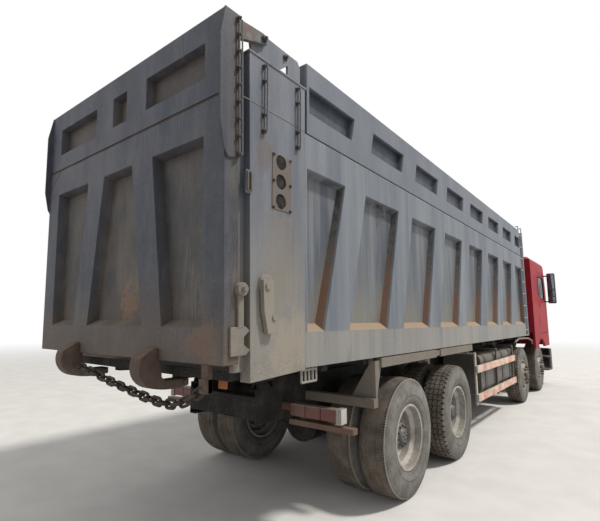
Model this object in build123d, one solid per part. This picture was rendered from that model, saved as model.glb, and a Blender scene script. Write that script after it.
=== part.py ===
from build123d import *
from math import cos, sin, tan, radians
import os

# Four-axle rear-tipping dump truck. Millimetres.
# X is across the truck (+X is its left side), -Y is forwards, Z is up, and Z 0 is the ground.
# The origin is on the ground, under the middle of the truck's length and width.

# Clearances
running_gap = 6.0
pivot_gap = 0.3
hub_clearance = 0.3

# Axle places along the truck
front_overhang = 1480.0
steer_spacing = 1860.0
middle_spacing = 4390.0
bogie_spacing = 1420.0
rear_overhang = 2450.0
total_length = front_overhang + steer_spacing + middle_spacing + bogie_spacing + rear_overhang
front_y = -total_length / 2
axle_1_y = front_y + front_overhang
axle_2_y = axle_1_y + steer_spacing
axle_3_y = axle_2_y + middle_spacing
axle_4_y = axle_3_y + bogie_spacing
bogie_y = (axle_3_y + axle_4_y) / 2

# Tyres and rims
tyre_diameter = 1085.0
tyre_section = 300.0
tread_width = 236.0
bead_diameter = 571.0
rim_flange_height = 13.0
rim_width = 229.0
rim_wall = 9.0
rim_well_depth = 38.0
disc_wall = 14.0
disc_bore = 65.0
hand_hole_count = 8
hand_hole_radius = 22.0
wheel_z = tyre_diameter / 2
front_track = 2040.0
rear_track = 1870.0
dual_spacing = 345.0

# Chassis frame
rail_height = 290.0
rail_flange = 80.0
rail_web = 10.0
frame_width = 860.0
frame_top_z = 1050.0
frame_bottom_z = frame_top_z - rail_height
subframe_height = 80.0
frame_front_y = front_y + 300.0
frame_rear_y = axle_4_y + 1270.0

# Steered axles
kingpin_half_spacing = 880.0
kingpin_radius = 25.0
kingpin_clearance = 0.3
beam_drop = 70.0
beam_height = 100.0
beam_half_depth = 45.0
steer_arm_length = 170.0
steer_arm_thickness = 28.0
tie_rod_radius = 22.0
spindle_radius = 45.0
drive_spindle_radius = 57.0

# Springs
steer_spring_length = 1500.0
steer_spring_rise = 150.0
steer_leaves = 5
steer_leaf_thickness = 16.0
steer_spring_x = frame_width / 2 + 50.0
steer_spring_z = wheel_z - beam_drop - 60 + beam_height + steer_leaves * steer_leaf_thickness
bogie_spring_length = bogie_spacing + 100.0
bogie_spring_drop = 90.0
bogie_spring_x = frame_width / 2 + 90.0
bogie_spring_z = wheel_z + 250.0
bogie_pivot_z = wheel_z + 20.0
bogie_leaves = 7
bogie_leaf_thickness = 18.0

# Load body
body_half_width = 1190.0
body_rear_y = axle_4_y + 2110.0
body_length = 8580.0
body_front_y = body_rear_y - body_length
wall_skin = 8.0
bay_depth = 75.0
front_wall_depth = 80.0
body_inner_x = body_half_width - bay_depth - wall_skin
sill_bottom_z = 1310.0
sill_top_z = 1551.0
belt_top_z = 3000.0
belt_height = 262.0
belt_bottom_z = belt_top_z - belt_height
board_joint = 12.0
board_height = 573.0
board_rail = 180.0
board_head = 178.0
board_top_z = belt_top_z + board_height
window_bottom_z = belt_top_z + board_rail
window_top_z = board_top_z - board_head
window_depth = 62.0
ledge_rise = 58.0
soffit_drop = 30.0
rib_count = 7
rib_pitch = 1027.0
rib_width = 345.0
rib_lean = 0.268
rib_first = 238.0
rib_flank = 22.0
post_width = 532.0
post_bottom_z = sill_bottom_z - 42.0
rear_lean_deg = 1.5
ladder_front_y = body_front_y + 10.0
ladder_width = 340.0
ladder_bottom_z = sill_bottom_z + 20.0
ladder_depth = 60.0
rung_count = 9
rung_radius = 11.0
floor_z = 1330.0
floor_thickness = 10.0
cross_beam_height = 80.0
rear_beam_height = 50.0
runner_bottom_z = frame_top_z + subframe_height + running_gap
runner_half_width = 34.0
tip_hinge_y = axle_4_y + 1180.0
tip_hinge_z = 1110.0
tip_lug_radius = 44.0
tip_ear_radius = 50.0
tip_pin_radius = 32.0

# Fittings on the rear posts
lamp_plate_y = body_rear_y - 274.0
lamp_plate_width = 196.0
lamp_plate_bottom_z = 2357.0
lamp_plate_top_z = 2740.0
lamp_hole_radius = 52.0
lamp_hole_depth = 34.0
lever_pin_y = body_rear_y - 102.0
lever_pin_z = 1838.0
lever_length = 289.0

# Tailgate
gate_rear_y = axle_4_y + 2324.0
gate_thickness = 116.0
gate_bay_depth = 84.0
gate_bottom_z = 1382.0
gate_board_height = 550.0
gate_joint_z = belt_top_z - 25.0
gate_top_z = gate_joint_z + gate_board_height
gate_rail_height = 210.0
gate_head_height = 223.0
gate_board_rail = 150.0
gate_board_head = 163.0
gate_hinge_y = axle_4_y + 2044.0
gate_hinge_z = gate_top_z - 35.0
post_top_z = gate_hinge_z - 145.0
gate_pin_radius = 20.0
cheek_thickness = 12.0
claw_x = 530.0
claw_width = 110.0
latch_z = gate_bottom_z + 426.0
latch_teeth_z = gate_bottom_z + 47.0
latch_teeth_height = 164.0
chain_bar = 20.0
chain_link_length = 114.0
chain_link_width = 68.0
chain_play = 3.0
chain_start_x = 488.0
chain_start_z = 1287.0
chain_turns = [  # how far each link slopes down towards the right, in degrees
    6, 7, 7, 9, 11, 11, 10, 8, 8, 8, 8, 8, 8, 7, 6, 4, 1, -5, -12, -19, -26, -32,
]

# Hoist: it leans back a little at rest, so that its swing stays in step with the body's
hoist_base_y = body_front_y - 320.0
hoist_base_z = 1010.0
hoist_length = 1940.0
hoist_lean_deg = 6.0
hoist_eye_y = hoist_base_y + hoist_length * sin(radians(hoist_lean_deg))
hoist_eye_z = hoist_base_z + hoist_length * cos(radians(hoist_lean_deg))
hoist_tail = 80.0
hoist_barrel_radius = 112.0
hoist_barrel_length = 1700.0
hoist_collar_step = 30.0
hoist_stages = [  # outer radius, bore radius, collar radius
    (98.0, 86.0, 106.0),
    (84.0, 72.0, 92.0),
    (70.0, 58.0, 78.0),
    (52.0, 0.0, 0.0),
]
hoist_eye_radius = 52.0
hoist_trunnion_radius = 40.0
hoist_seat_x = 160.0
hoist_seat_wall = 30.0
hoist_recess_width = 300.0
hoist_recess_depth = 560.0
hoist_recess_top_z = hoist_eye_z - 60.0

# Cab
cab_half_width = 1230.0
cab_rear_y = body_front_y - 450.0
cab_front_y = front_y + 130.0
cab_floor_z = 1400.0
cab_skirt_z = 1000.0
cab_roof_z = 3100.0
cab_wall = 40.0
cab_corner_radius = 150.0
cab_roof_radius = 110.0
cab_pivot_y = cab_front_y + 110.0
cab_pivot_z = 990.0
cab_pin_radius = 30.0
cab_bracket_x = 344.0
cab_bracket_wall = 40.0
screen_low_z = 1980.0
screen_high_z = 2780.0
screen_half_width = 1080.0
rear_window_half_width = 620.0
rear_window_z = (2150.0, 2700.0)
visor_top = (cab_front_y + 286.0, cab_roof_z + 65.0)
visor_front = (cab_front_y + 126.0, cab_roof_z - 126.0)
door_front_y = cab_front_y + 330.0
door_width = 1030.0
door_bottom_z = 1330.0
door_top_z = 2800.0
door_gap = 8.0
door_thickness = 34.0
door_lap = 30.0
door_sill_front_z = 2110.0
door_sill_rear_z = 2230.0
door_window_top_z = 2710.0
arch_radius = 660.0
arch_lip = 30.0
bumper_bottom_z = 380.0
bumper_top_z = 900.0
bumper_half_width = 1240.0
bumper_depth = 420.0
bumper_wall = 40.0
bumper_corner_radius = 160.0

# Tank and boxes beside the frame, side guards, skirts and lamps
tank_inner_x = frame_width / 2 + 110.0
tank_outer_x = body_half_width - 80.0
tank_bottom_z = 520.0
tank_top_z = 1120.0
tank_front_y = axle_2_y + 720.0
tank_rear_y = axle_2_y + 2900.0
tank_radius = 110.0
strap_count = 4
strap_width = 110.0
strap_thickness = 8.0
guard_front_y = axle_2_y + 790.0
guard_rear_y = axle_3_y - 1110.0
guard_rail_z = (930.0, 530.0)
guard_rail_height = 100.0
skirt_bottom_z = 1216.0
skirt_top_z = 1300.0
skirt_inset = 60.0
guard_tube_radius = 19.0
fender_bar_y = axle_4_y + 500.0
fender_bar_z = (880.0, 960.0)
fender_bar_depth = 80.0
lamp_y = axle_4_y + 931.0
lamp_inner_x = body_half_width - 600.0
lamp_outer_x = body_half_width - 130.0
lamp_bottom_z = 825.0
lamp_top_z = 925.0


def block(x0, x1, y0, y1, z0, z1):
    return Pos((x0 + x1) / 2, (y0 + y1) / 2, (z0 + z1) / 2) * Box(abs(x1 - x0), abs(y1 - y0), abs(z1 - z0))


def outline(points, radius=0.0):
    """A closed outline, with each corner rounded where a radius is given."""
    return FilletPolyline(*points, radius=radius, close=True) if radius else Polyline(*points, close=True)


def prism_x(points, x0, x1, radius=0.0):
    """A YZ outline pushed along X."""
    face = Plane.YZ.offset(min(x0, x1)) * make_face(outline(points, radius))
    return extrude(face, amount=abs(x1 - x0), dir=(1, 0, 0))


def prism_y(points, y0, y1, radius=0.0):
    """An XZ outline pushed along Y."""
    face = Pos(0, min(y0, y1), 0) * (Plane.XZ * make_face(outline(points, radius)))
    return extrude(face, amount=abs(y1 - y0), dir=(0, 1, 0))


def prism_z(points, z0, z1, radius=0.0):
    """An XY outline pushed along Z."""
    face = Plane.XY.offset(min(z0, z1)) * make_face(outline(points, radius))
    return extrude(face, amount=abs(z1 - z0), dir=(0, 0, 1))


def rod_x(x0, x1, y, z, radius):
    return Pos((x0 + x1) / 2, y, z) * Rot(0, 90, 0) * Cylinder(radius, abs(x1 - x0))


def rod_y(x, y0, y1, z, radius):
    return Pos(x, (y0 + y1) / 2, z) * Rot(90, 0, 0) * Cylinder(radius, abs(y1 - y0))


def rod_z(x, y, z0, z1, radius):
    return Pos(x, y, (z0 + z1) / 2) * Cylinder(radius, abs(z1 - z0))


def turned_x(points, x, y, z, side=1):
    """A closed (across, radius) outline turned about an axis along X."""
    section = Plane.XY * make_face(Polyline(*[(side * a, r) for a, r in points], close=True))
    return Pos(x, y, z) * revolve(section, axis=Axis.X)


def joined(shapes):
    """One solid of pieces that touch or run into each other."""
    whole = None
    for shape in shapes:
        whole = shape if whole is None else whole + shape
    return whole


def flip(shape):
    return mirror(shape, about=Plane.YZ)


def solids_of(*shapes):
    found = []
    for shape in shapes:
        found.extend(shape.solids())
    return found


def save(name, *shapes):
    found = solids_of(*shapes)
    export_step(Compound(children=found) if len(found) > 1 else found[0], f"parts/{name}.step")


def leaned(shape, pivot_y, pivot_z):
    """Tip a rear-end piece back by the lean of the body's rear opening."""
    return Pos(0, pivot_y, pivot_z) * Rot(-rear_lean_deg, 0, 0) * Pos(0, -pivot_y, -pivot_z) * shape


# Wheels

def tyre(x, y, side):
    half = tyre_section / 2
    tread = tread_width / 2
    outer = tyre_diameter / 2
    bead = bead_diameter / 2
    seat = rim_width / 2 - 0.2
    section = [
        (-seat, bead + 0.2), (-seat, bead + rim_flange_height + 1), (-half + 6, bead + 55), (-half, outer - 130),
        (-tread - 8, outer - 30), (-tread, outer - 8), (-tread / 2, outer), (tread / 2, outer), (tread, outer - 8),
        (tread + 8, outer - 30), (half, outer - 130), (half - 6, bead + 55), (seat, bead + rim_flange_height + 1),
        (seat, bead + 0.2), (seat - 14, bead + 20), (half - 28, outer - 130), (tread - 10, outer - 42),
        (-tread + 10, outer - 42), (-half + 28, outer - 130), (-seat + 14, bead + 20),
    ]
    return turned_x(section, x, y, wheel_z, side)


def rim(x, y, side, holes=True):
    """Barrel and dished disc; the disc's mounting face stands out on the side away from `side`."""
    half = rim_width / 2
    bead = bead_diameter / 2
    well = bead - rim_well_depth
    lip = bead + rim_flange_height
    barrel = [
        (-half - rim_wall, lip), (-half - rim_wall, bead - rim_wall), (-half + 40, bead - rim_wall),
        (-half + 62, well - rim_wall), (half - 90, well - rim_wall), (half - 60, bead - rim_wall),
        (half + rim_wall, bead - rim_wall), (half + rim_wall, lip), (half, lip), (half, bead),
        (half - 58, bead), (half - 86, well), (-half + 60, well), (-half + 38, bead), (-half, bead), (-half, lip),
    ]
    face = -dual_spacing / 2
    shoulder = well - rim_wall
    disc = [
        (face, disc_bore), (face + disc_wall, disc_bore), (face + disc_wall, shoulder - 78), (face + 36, shoulder - 42),
        (-34, shoulder + 1), (-50, shoulder + 1), (face + 24, shoulder - 30), (face, shoulder - 72),
    ]
    plate = turned_x(disc, x, y, wheel_z, side)
    if holes:
        reach = shoulder - hand_hole_radius - 14
        for k in range(hand_hole_count):
            drill = rod_x(x - half, x + half, y, wheel_z + reach, hand_hole_radius)
            plate -= Pos(0, y, wheel_z) * Rot(360 / hand_hole_count * k, 0, 0) * Pos(0, -y, -wheel_z) * drill
    return turned_x(barrel, x, y, wheel_z, side) + plate


def front_rim(x, y, side):
    """Single front wheel: the disc stands out, with the hub and drum behind it."""
    bore = spindle_radius + hub_clearance
    hub = [
        (-40, bore), (192, bore), (192, 0), (220, 0), (220, 60), (206, 82), (172, 90), (172, 150), (140, 150),
        (140, 112), (60, 108), (60, 205), (-58, 205), (-58, 192), (46, 192), (46, 100), (-40, 100),
    ]
    return rim(x, y, -side) + turned_x(hub, x, y, wheel_z, side)


def rear_rims(y, side):
    """Twin rear wheels: two discs back to back, one hub that stands out of the deep outer dish."""
    middle = side * rear_track / 2
    offset = dual_spacing / 2
    bore = drive_spindle_radius + hub_clearance
    hub = [
        (-120, bore), (150, bore), (150, 0), (176, 0), (176, 70), (160, 96), (60, 104), (34, 150),
        (-34, 150), (-34, 206), (-200, 206), (-200, 192), (-48, 192), (-48, 110), (-120, 96),
    ]
    outer = rim(middle + side * offset, y, side)
    inner = rim(middle - side * offset, y, -side, holes=False)
    return outer + inner + turned_x(hub, middle, y, wheel_z, side)


# Steered axles

def steer_beam(y):
    z = wheel_z - beam_drop
    half = kingpin_half_spacing - 65
    low = z - 60
    section = [
        (-half, z - 30), (-half + 150, low), (half - 150, low), (half, z - 30),
        (half, z + 50), (half - 150, low + beam_height), (-half + 150, low + beam_height), (-half, z + 50),
    ]
    beam = prism_y(section, y - beam_half_depth, y + beam_half_depth)
    for side in (1, -1):
        x = side * kingpin_half_spacing
        beam += rod_z(x, y, wheel_z - 60, wheel_z + 60, 48)
        beam += block(side * (half - 60), x - side * 20, y - 40, y + 40, wheel_z - 58, wheel_z + 30)
        beam -= rod_z(x, y, wheel_z - 70, wheel_z + 70, kingpin_radius + kingpin_clearance)
    return beam


def knuckle(y, side):
    """Stub axle: a fork about the beam's end, its kingpin, the spindle and the steering arm."""
    x = side * kingpin_half_spacing
    front_x = side * front_track / 2
    fork_reach, fork_inner = 106, 66
    shape = rod_z(x, y, wheel_z - fork_reach, wheel_z + fork_reach, kingpin_radius)
    for z0, z1 in ((fork_inner, fork_reach), (-fork_reach, -fork_inner)):
        shape += rod_z(x, y, wheel_z + z0, wheel_z + z1, 46)
        shape += block(x, x + side * 86, y - 44, y + 44, wheel_z + z0, wheel_z + z1)
    shape += block(x + side * 56, x + side * 86, y - 70, y + 70, wheel_z - fork_reach, wheel_z + fork_reach)
    shape += rod_x(x + side * 80, front_x + side * 150, y, wheel_z, spindle_radius)
    arm_z = wheel_z - 100
    shape += block(x - side * 12, x + side * 30, y + 20, y + steer_arm_length, arm_z, arm_z + steer_arm_thickness)
    shape += rod_z(x, y + steer_arm_length, arm_z, arm_z + steer_arm_thickness, 30)
    return shape


def tie_rod(y):
    z = wheel_z - 100 - pivot_gap - 24
    ball_y = y + steer_arm_length
    shape = rod_x(-kingpin_half_spacing, kingpin_half_spacing, ball_y, z, tie_rod_radius)
    for side in (1, -1):
        shape += rod_z(side * kingpin_half_spacing, ball_y, z - 28, z + 24, 28)
    return shape


# Leaf springs: a stack of leaves, each shorter than the one above

def leaf_bend(share, rise):
    """Height of a leaf at a share of its half length: flat in the middle, steeper outwards."""
    return rise * (0.5 * share if share < 0.5 else 1.5 * share - 0.5)


def leaf_pack(x, y, z, length, leaves, rise, width, thickness):
    stack = []
    for k in range(leaves):
        reach = 1 - 0.11 * k
        shares = (-reach, -0.5, 0, 0.5, reach) if reach > 0.5 else (-reach, 0, reach)
        upper = [(y + length / 2 * share, z + leaf_bend(abs(share), rise) - k * thickness) for share in shares]
        lower = [(py, pz - thickness) for py, pz in reversed(upper)]
        stack.append(prism_x(upper + lower, x - width / 2, x + width / 2))
    return joined(stack)


def steer_springs():
    return [
        leaf_pack(
            side * steer_spring_x, y, steer_spring_z, steer_spring_length, steer_leaves, steer_spring_rise, 90,
            steer_leaf_thickness)
        for y in (axle_1_y, axle_2_y) for side in (1, -1)
    ]


def bogie_springs():
    shapes = []
    low = bogie_spring_z - (bogie_leaves - 0.5) * bogie_leaf_thickness
    for side in (1, -1):
        x = side * bogie_spring_x
        pack = leaf_pack(
            x, bogie_y, bogie_spring_z, bogie_spring_length, bogie_leaves, -bogie_spring_drop, 100, bogie_leaf_thickness)
        saddle = rod_x(x - 60, x + 60, bogie_y, bogie_pivot_z, 110)
        saddle += block(x - 55, x + 55, bogie_y - 90, bogie_y + 90, bogie_pivot_z, low)
        shapes.append(pack + saddle)
    return shapes


def drive_axle(y):
    """Banjo housing with its round bowl, tubes, spindles and spring seats."""
    reach = rear_track / 2 + 145
    bowl = rod_y(0, y - 95, y + 95, wheel_z, 225)
    nose = rod_y(0, y - 265, y - 65, wheel_z + 40, 110)
    shape = bowl + nose + rod_x(-700, 700, y, wheel_z, 80) + rod_x(-reach, reach, y, wheel_z, drive_spindle_radius)
    half = bogie_spring_length / 2
    near = leaf_bend((bogie_spacing / 2 - 30) / half, -bogie_spring_drop)
    far = leaf_bend((bogie_spacing / 2 + 30) / half, -bogie_spring_drop)
    top = bogie_spring_z - bogie_leaf_thickness + min(near, far)
    for side in (1, -1):
        x = side * bogie_spring_x
        shape += block(x - 55, x + 55, y - 70, y + 70, wheel_z + 20, top - 26)
        shape += block(x - 55, x + 55, y - 30, y + 30, top - 26, top)
    return shape


# Chassis

def frame_rail(side):
    """Channel rail with the load body's subframe on it."""
    x = side * frame_width / 2
    inner = side * (frame_width / 2 - rail_flange)
    z0, z1 = frame_bottom_z, frame_top_z
    return joined([
        block(x, side * (frame_width / 2 - rail_web), frame_front_y, frame_rear_y, z0, z1),
        block(x, inner, frame_front_y, frame_rear_y, z1 - rail_web, z1),
        block(x, inner, frame_front_y, frame_rear_y, z0, z0 + rail_web),
        block(x, inner, cab_rear_y + 60, tip_hinge_y - 130, z1, z1 + subframe_height),
    ])


def cross_members():
    """Box members from web to web; the first stands between the cab's brackets."""
    web = frame_width / 2 - rail_web
    z0 = frame_bottom_z + 40
    stations = [  # place along the frame, depth along the frame, half width
        (frame_front_y + 60, 120, cab_bracket_x), (axle_1_y + 660, 90, web), (axle_2_y + 560, 90, web),
        (axle_2_y + 1500, 90, web), (axle_3_y - 1100, 90, web), (bogie_y, 240, web), (axle_4_y + 640, 90, web),
        (frame_rear_y - 60, 120, web),
    ]
    return [block(-x, x, y - depth / 2, y + depth / 2, z0, z0 + 190) for y, depth, x in stations]


def tip_cheeks(side):
    """Two cheeks with the tipping pin between them, one on each side of the body's hinge ear."""
    x = frame_width / 2
    pieces = []
    for inner, outer in ((x - rail_flange, x - rail_flange + 24), (x - 24, x)):
        pieces.append(prism_x([
            (tip_hinge_y - 110, frame_top_z), (tip_hinge_y + 60, frame_top_z), (tip_hinge_y + tip_lug_radius, tip_hinge_z),
            (tip_hinge_y - tip_lug_radius, tip_hinge_z),
        ], side * inner, side * outer))
        pieces.append(rod_x(side * inner, side * outer, tip_hinge_y, tip_hinge_z, tip_lug_radius))
    pieces.append(rod_x(side * (x - rail_flange), side * x, tip_hinge_y, tip_hinge_z, tip_pin_radius))
    return joined(pieces)


def spring_hangers(side):
    """Outside the rail at both ends of each steered axle's spring."""
    x = frame_width / 2
    tip_z = steer_spring_z + steer_spring_rise
    shapes = []
    for axle_y in (axle_1_y, axle_2_y):
        for end in (1, -1):
            y = axle_y + end * (steer_spring_length / 2 - 50)
            hand = block(side * x, side * (x + 14), y - 60, y + 50, frame_bottom_z + 20, frame_bottom_z + 160)
            arm_y = y + end * 30
            hand += block(
                side * x, side * (steer_spring_x + 46), arm_y - 20, arm_y + 20, tip_z, frame_bottom_z + 80)
            shapes.append(hand)
    return shapes


def bogie_carrier():
    """Hangers under the rails with the cross tube that the bogie springs rock on."""
    x = frame_width / 2
    tube = rod_x(-x - 30, x + 30, bogie_y, bogie_pivot_z, 70)
    for side in (1, -1):
        tube += block(
            side * (x - rail_flange), side * x, bogie_y - 120, bogie_y + 120, bogie_pivot_z - 40, frame_bottom_z)
    return tube


def cab_brackets(side):
    """Arm ahead of the rail that carries the cab's front pivot."""
    x0, x1 = side * cab_bracket_x, side * (cab_bracket_x + cab_bracket_wall)
    z0, z1 = frame_bottom_z + 90, frame_top_z - rail_web
    arm = prism_x([
        (cab_pivot_y, cab_pivot_z - 34), (frame_front_y, z0), (frame_front_y + 200, z0),
        (frame_front_y + 200, z1), (frame_front_y, z1), (cab_pivot_y, cab_pivot_z + 34),
    ], x0, x1)
    arm += rod_x(x0, x1, cab_pivot_y, cab_pivot_z, 34)
    return arm + rod_x(x0, x1 + side * 46, cab_pivot_y, cab_pivot_z, cab_pin_radius)


def hoist_seat(side):
    """Plate with the bore for the hoist's trunnion, on two bearers to the rail."""
    y = hoist_base_y
    x0, x1 = side * hoist_seat_x, side * (hoist_seat_x + hoist_seat_wall)
    rail_x = side * (frame_width / 2 - rail_web)
    low = frame_bottom_z + 60
    plate = prism_x([
        (y - 115, frame_top_z), (y + 170, frame_top_z), (y + 60, hoist_base_z + 70), (y - 60, hoist_base_z + 70),
    ], x0, x1)
    plate += block(x0, x1, y - 115, y + 170, low, frame_top_z)
    for edge in (-115, 130):
        plate += block(x0, rail_x, y + edge, y + edge + 40, low, frame_top_z - rail_web)
    return plate - rod_x(x0 - side * 20, x1 + side * 20, y, hoist_base_z, hoist_trunnion_radius + pivot_gap)


def cab_rest():
    """Cross arch on the frame that the cab's rear rests on."""
    y = cab_rear_y - 160
    top = cab_floor_z - cab_wall - pivot_gap
    x = frame_width / 2
    arch = block(-x, x, y - 30, y + 30, top - 60, top)
    for side in (1, -1):
        arch += block(side * (x - 60), side * x, y - 30, y + 30, frame_top_z, top)
    return arch


def fuel_tank():
    tank = block(-tank_outer_x, -tank_inner_x, tank_front_y, tank_rear_y, tank_bottom_z, tank_top_z)
    tank = fillet(tank.edges().filter_by(Axis.Y), tank_radius)
    neck_y = tank_front_y + 260
    neck_x = -(tank_inner_x + tank_outer_x) / 2
    neck = rod_z(neck_x, neck_y, tank_top_z - 20, tank_top_z + 34, 46) + rod_z(neck_x, neck_y, tank_top_z + 14, tank_top_z + 50, 58)
    return tank + neck


def tank_straps():
    shapes = []
    t = strap_thickness
    for k in range(strap_count):
        y = tank_front_y + (tank_rear_y - tank_front_y) * (k + 0.5) / strap_count
        y0, y1 = y - strap_width / 2, y + strap_width / 2
        outer = block(-tank_outer_x - t, -tank_inner_x + t, y0, y1, tank_bottom_z - t, tank_top_z + t)
        inner = block(-tank_outer_x, -tank_inner_x, y0 - 1, y1 + 1, tank_bottom_z, tank_top_z)
        hoop = fillet(outer.edges().filter_by(Axis.Y), tank_radius + t)
        hoop -= fillet(inner.edges().filter_by(Axis.Y), tank_radius)
        shapes.append(hoop + block(-tank_inner_x + t, -frame_width / 2, y - 30, y + 30, 780, 860))
    return shapes


def left_boxes():
    """Battery box and three upright air tanks on the left side."""
    x0, x1 = tank_inner_x, tank_outer_x - 20
    box_front, box_rear = axle_2_y + 760, axle_2_y + 1500
    box = block(x0, x1, box_front, box_rear, 560, 1080)
    box = chamfer(box.edges().filter_by(Axis.Y), 20)
    box += block(frame_width / 2, x0, box_front + 100, box_rear - 100, 780, 900)
    shapes = [box]
    radius = 150
    for k in range(3):
        x, y = x0 + 190, box_rear + 270 + 420 * k
        tank = rod_z(x, y, 560, 1100, radius)
        tank = fillet(tank.edges().filter_by(GeomType.CIRCLE), 40)
        shapes.append(tank + block(frame_width / 2, x, y - 30, y + 30, 800, 880))
    return shapes


def side_guard(side):
    """Two rails on three posts, with arms from the frame."""
    outer = body_half_width - 20
    inner = outer - 30
    post = inner - 20
    pieces = []
    for z in guard_rail_z:
        pieces.append(block(
            side * outer, side * inner, guard_front_y, guard_rear_y, z - guard_rail_height / 2, z + guard_rail_height / 2))
    for y in (guard_rear_y - 40, (guard_front_y + guard_rear_y) / 2, guard_front_y + 60):
        pieces.append(block(side * inner, side * post, y - 30, y + 30, 430, 1165))
        pieces.append(block(side * frame_width / 2, side * (inner - 10), y - 22, y + 22, 1140, 1165))
        pieces.append(block(side * frame_width / 2, side * (frame_width / 2 + 10), y - 40, y + 40, 960, 1165))
    return joined(pieces)


def rear_fender(side):
    """Skirt over the bogie in two lengths, its arms, and the braced bar behind the last wheel."""
    outer = side * body_half_width
    inner = side * (body_half_width - skirt_inset)
    rail_x = side * frame_width / 2
    skirt_rear = axle_4_y + 455
    pieces = [
        block(outer, inner, axle_4_y - 900, skirt_rear, skirt_bottom_z, skirt_top_z),
        block(outer, inner, axle_3_y - 850, axle_3_y + 390, skirt_bottom_z, skirt_top_z),
        block(inner, side * (body_half_width - 12), axle_3_y + 380, axle_4_y - 890, skirt_bottom_z + 14, skirt_top_z - 10),
    ]
    for y in (axle_3_y - 800, bogie_y):
        pieces.append(block(rail_x, inner + side * 10, y - 30, y + 30, skirt_bottom_z - 36, skirt_bottom_z + 16))
        pieces.append(block(rail_x, rail_x + side * 14, y - 60, y + 60, 900, skirt_bottom_z + 16))
    bar_low, bar_high = fender_bar_z
    bar_outer = side * (body_half_width - 20)
    y0, y1 = fender_bar_y, fender_bar_y + fender_bar_depth
    pieces.append(block(rail_x, bar_outer, y0, y1, bar_low, bar_high))
    pieces.append(prism_y([
        (bar_outer, bar_high - 10), (bar_outer, skirt_top_z - 20), (inner, skirt_top_z - 20),
        (side * (body_half_width - 270), bar_high - 10),
    ], y0 + 30, y0 + 42))
    pieces.append(prism_x([
        (skirt_rear - 20, skirt_bottom_z), (skirt_rear, skirt_top_z - 20), (y0 + 42, skirt_top_z - 20),
        (y0 + 42, bar_high - 10), (y0 + 20, bar_high - 10),
    ], bar_outer - side * 12, bar_outer))
    return joined(pieces)


def guard_tube(side):
    """Bent tube over the second steered axle, on an arm from the frame."""
    x = side * (body_half_width - 20)
    y = axle_2_y
    path = Polyline(
        (x, y + 708, 1213), (x, y + 345, 1272), (x, y - 603, 1246), (x, y - 1010, 1184), (x, y - 1010, 1106))
    start = Plane(origin=path @ 0, z_dir=path % 0)
    tube = sweep(start * Circle(guard_tube_radius), path=path, transition=Transition.ROUND)
    rail_x = side * frame_width / 2
    arm = block(rail_x, x, y - 30, y + 30, 1236, 1262)
    return joined([tube, arm, block(rail_x, rail_x + side * 12, y - 60, y + 60, 900, 1262)])


def tail_lamp(side):
    """Long lamp with three lenses and a ribbed end cap, over a step on two hangers."""
    y0, y1 = lamp_y, lamp_y + 70
    x0, x1 = side * lamp_inner_x, side * lamp_outer_x
    lamp = block(x0, x1, y0, y1, lamp_bottom_z, lamp_top_z)
    for share in (1 / 3, 2 / 3):
        x = x0 + (x1 - x0) * share
        lamp -= block(x - 4, x + 4, y1 - 8, y1 + 1, lamp_bottom_z - 1, lamp_top_z + 1)
    cap = block(x1, x1 + side * 50, y0 - 6, y1 + 6, lamp_bottom_z - 10, lamp_top_z + 8)
    for k in range(3):
        x = x1 + side * (9 + 15 * k)
        cap -= block(x - 3, x + 3, y1 - 2, y1 + 7, lamp_bottom_z - 11, lamp_top_z + 9)
    arm = block(side * frame_width / 2, side * (lamp_outer_x - 60), y0 - 50, y0, lamp_bottom_z + 20, lamp_top_z - 20)
    step_z = lamp_bottom_z - 80
    step = block(side * (lamp_inner_x - 30), x1 + side * 140, y0 - 20, y0 + 50, step_z, step_z + 45)
    pieces = [lamp, cap, arm, step]
    for x in (lamp_inner_x + 50, lamp_outer_x - 110):
        pieces.append(block(side * x, side * (x + 50), y0 - 40, y0, step_z, lamp_bottom_z + 40))
    return joined(pieces)


def bumper():
    """Wrap-round bumper with lamp wells, an air inlet, a step at each corner and its two brackets."""
    y0, y1 = front_y, front_y + bumper_depth
    half, wall = bumper_half_width, bumper_wall
    corner = bumper_corner_radius
    shell = prism_z([(-half, y1 + 200), (-half, y0), (half, y0), (half, y1 + 200)], bumper_bottom_z, bumper_top_z, corner)
    shell -= prism_z([
        (-half + wall, y1 + 300), (-half + wall, y0 + wall), (half - wall, y0 + wall), (half - wall, y1 + 300),
    ], bumper_bottom_z - 1, bumper_top_z + 1, corner - wall)
    shell -= block(-half - 1, half + 1, y1, y1 + 400, bumper_bottom_z - 1, bumper_top_z + 1)
    shell -= block(-520, 520, y0 - 1, y0 + wall + 1, bumper_bottom_z + 110, bumper_bottom_z + 330)
    for k in range(3):
        z = bumper_bottom_z + 156 + 62 * k
        shell += block(-525, 525, y0 + 12, y0 + 24, z, z + 22)
    for side in (1, -1):
        shell -= block(side * 700, side * 1050, y0 - 1, y0 + 24, bumper_top_z - 250, bumper_top_z - 60)
        for x in (790, 940):
            shell += rod_y(side * x, y0 + 8, y0 + 26, bumper_top_z - 155, 68)
        shell -= rod_y(side * 820, y0 - 1, y0 + 22, bumper_bottom_z + 110, 50)
        shell += rod_y(side * 820, y0 + 10, y0 + 26, bumper_bottom_z + 110, 42)
        shell += block(side * 350, side * 430, y0 + 30, frame_front_y, 765, 845)
        for z in (bumper_bottom_z + 20, bumper_bottom_z + 330):
            shell += block(side * (half - 190), side * half, y1 - 10, y1 + 380, z, z + 30)
            shell += block(side * (half - 190), side * (half - 178), y1 - 10, y1 + 380, z, z + 110)
        shell += block(side * (half - 190), side * (half - 178), y1 - 10, y1 + 380, bumper_bottom_z + 20, bumper_top_z - 40)
    return shell


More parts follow.
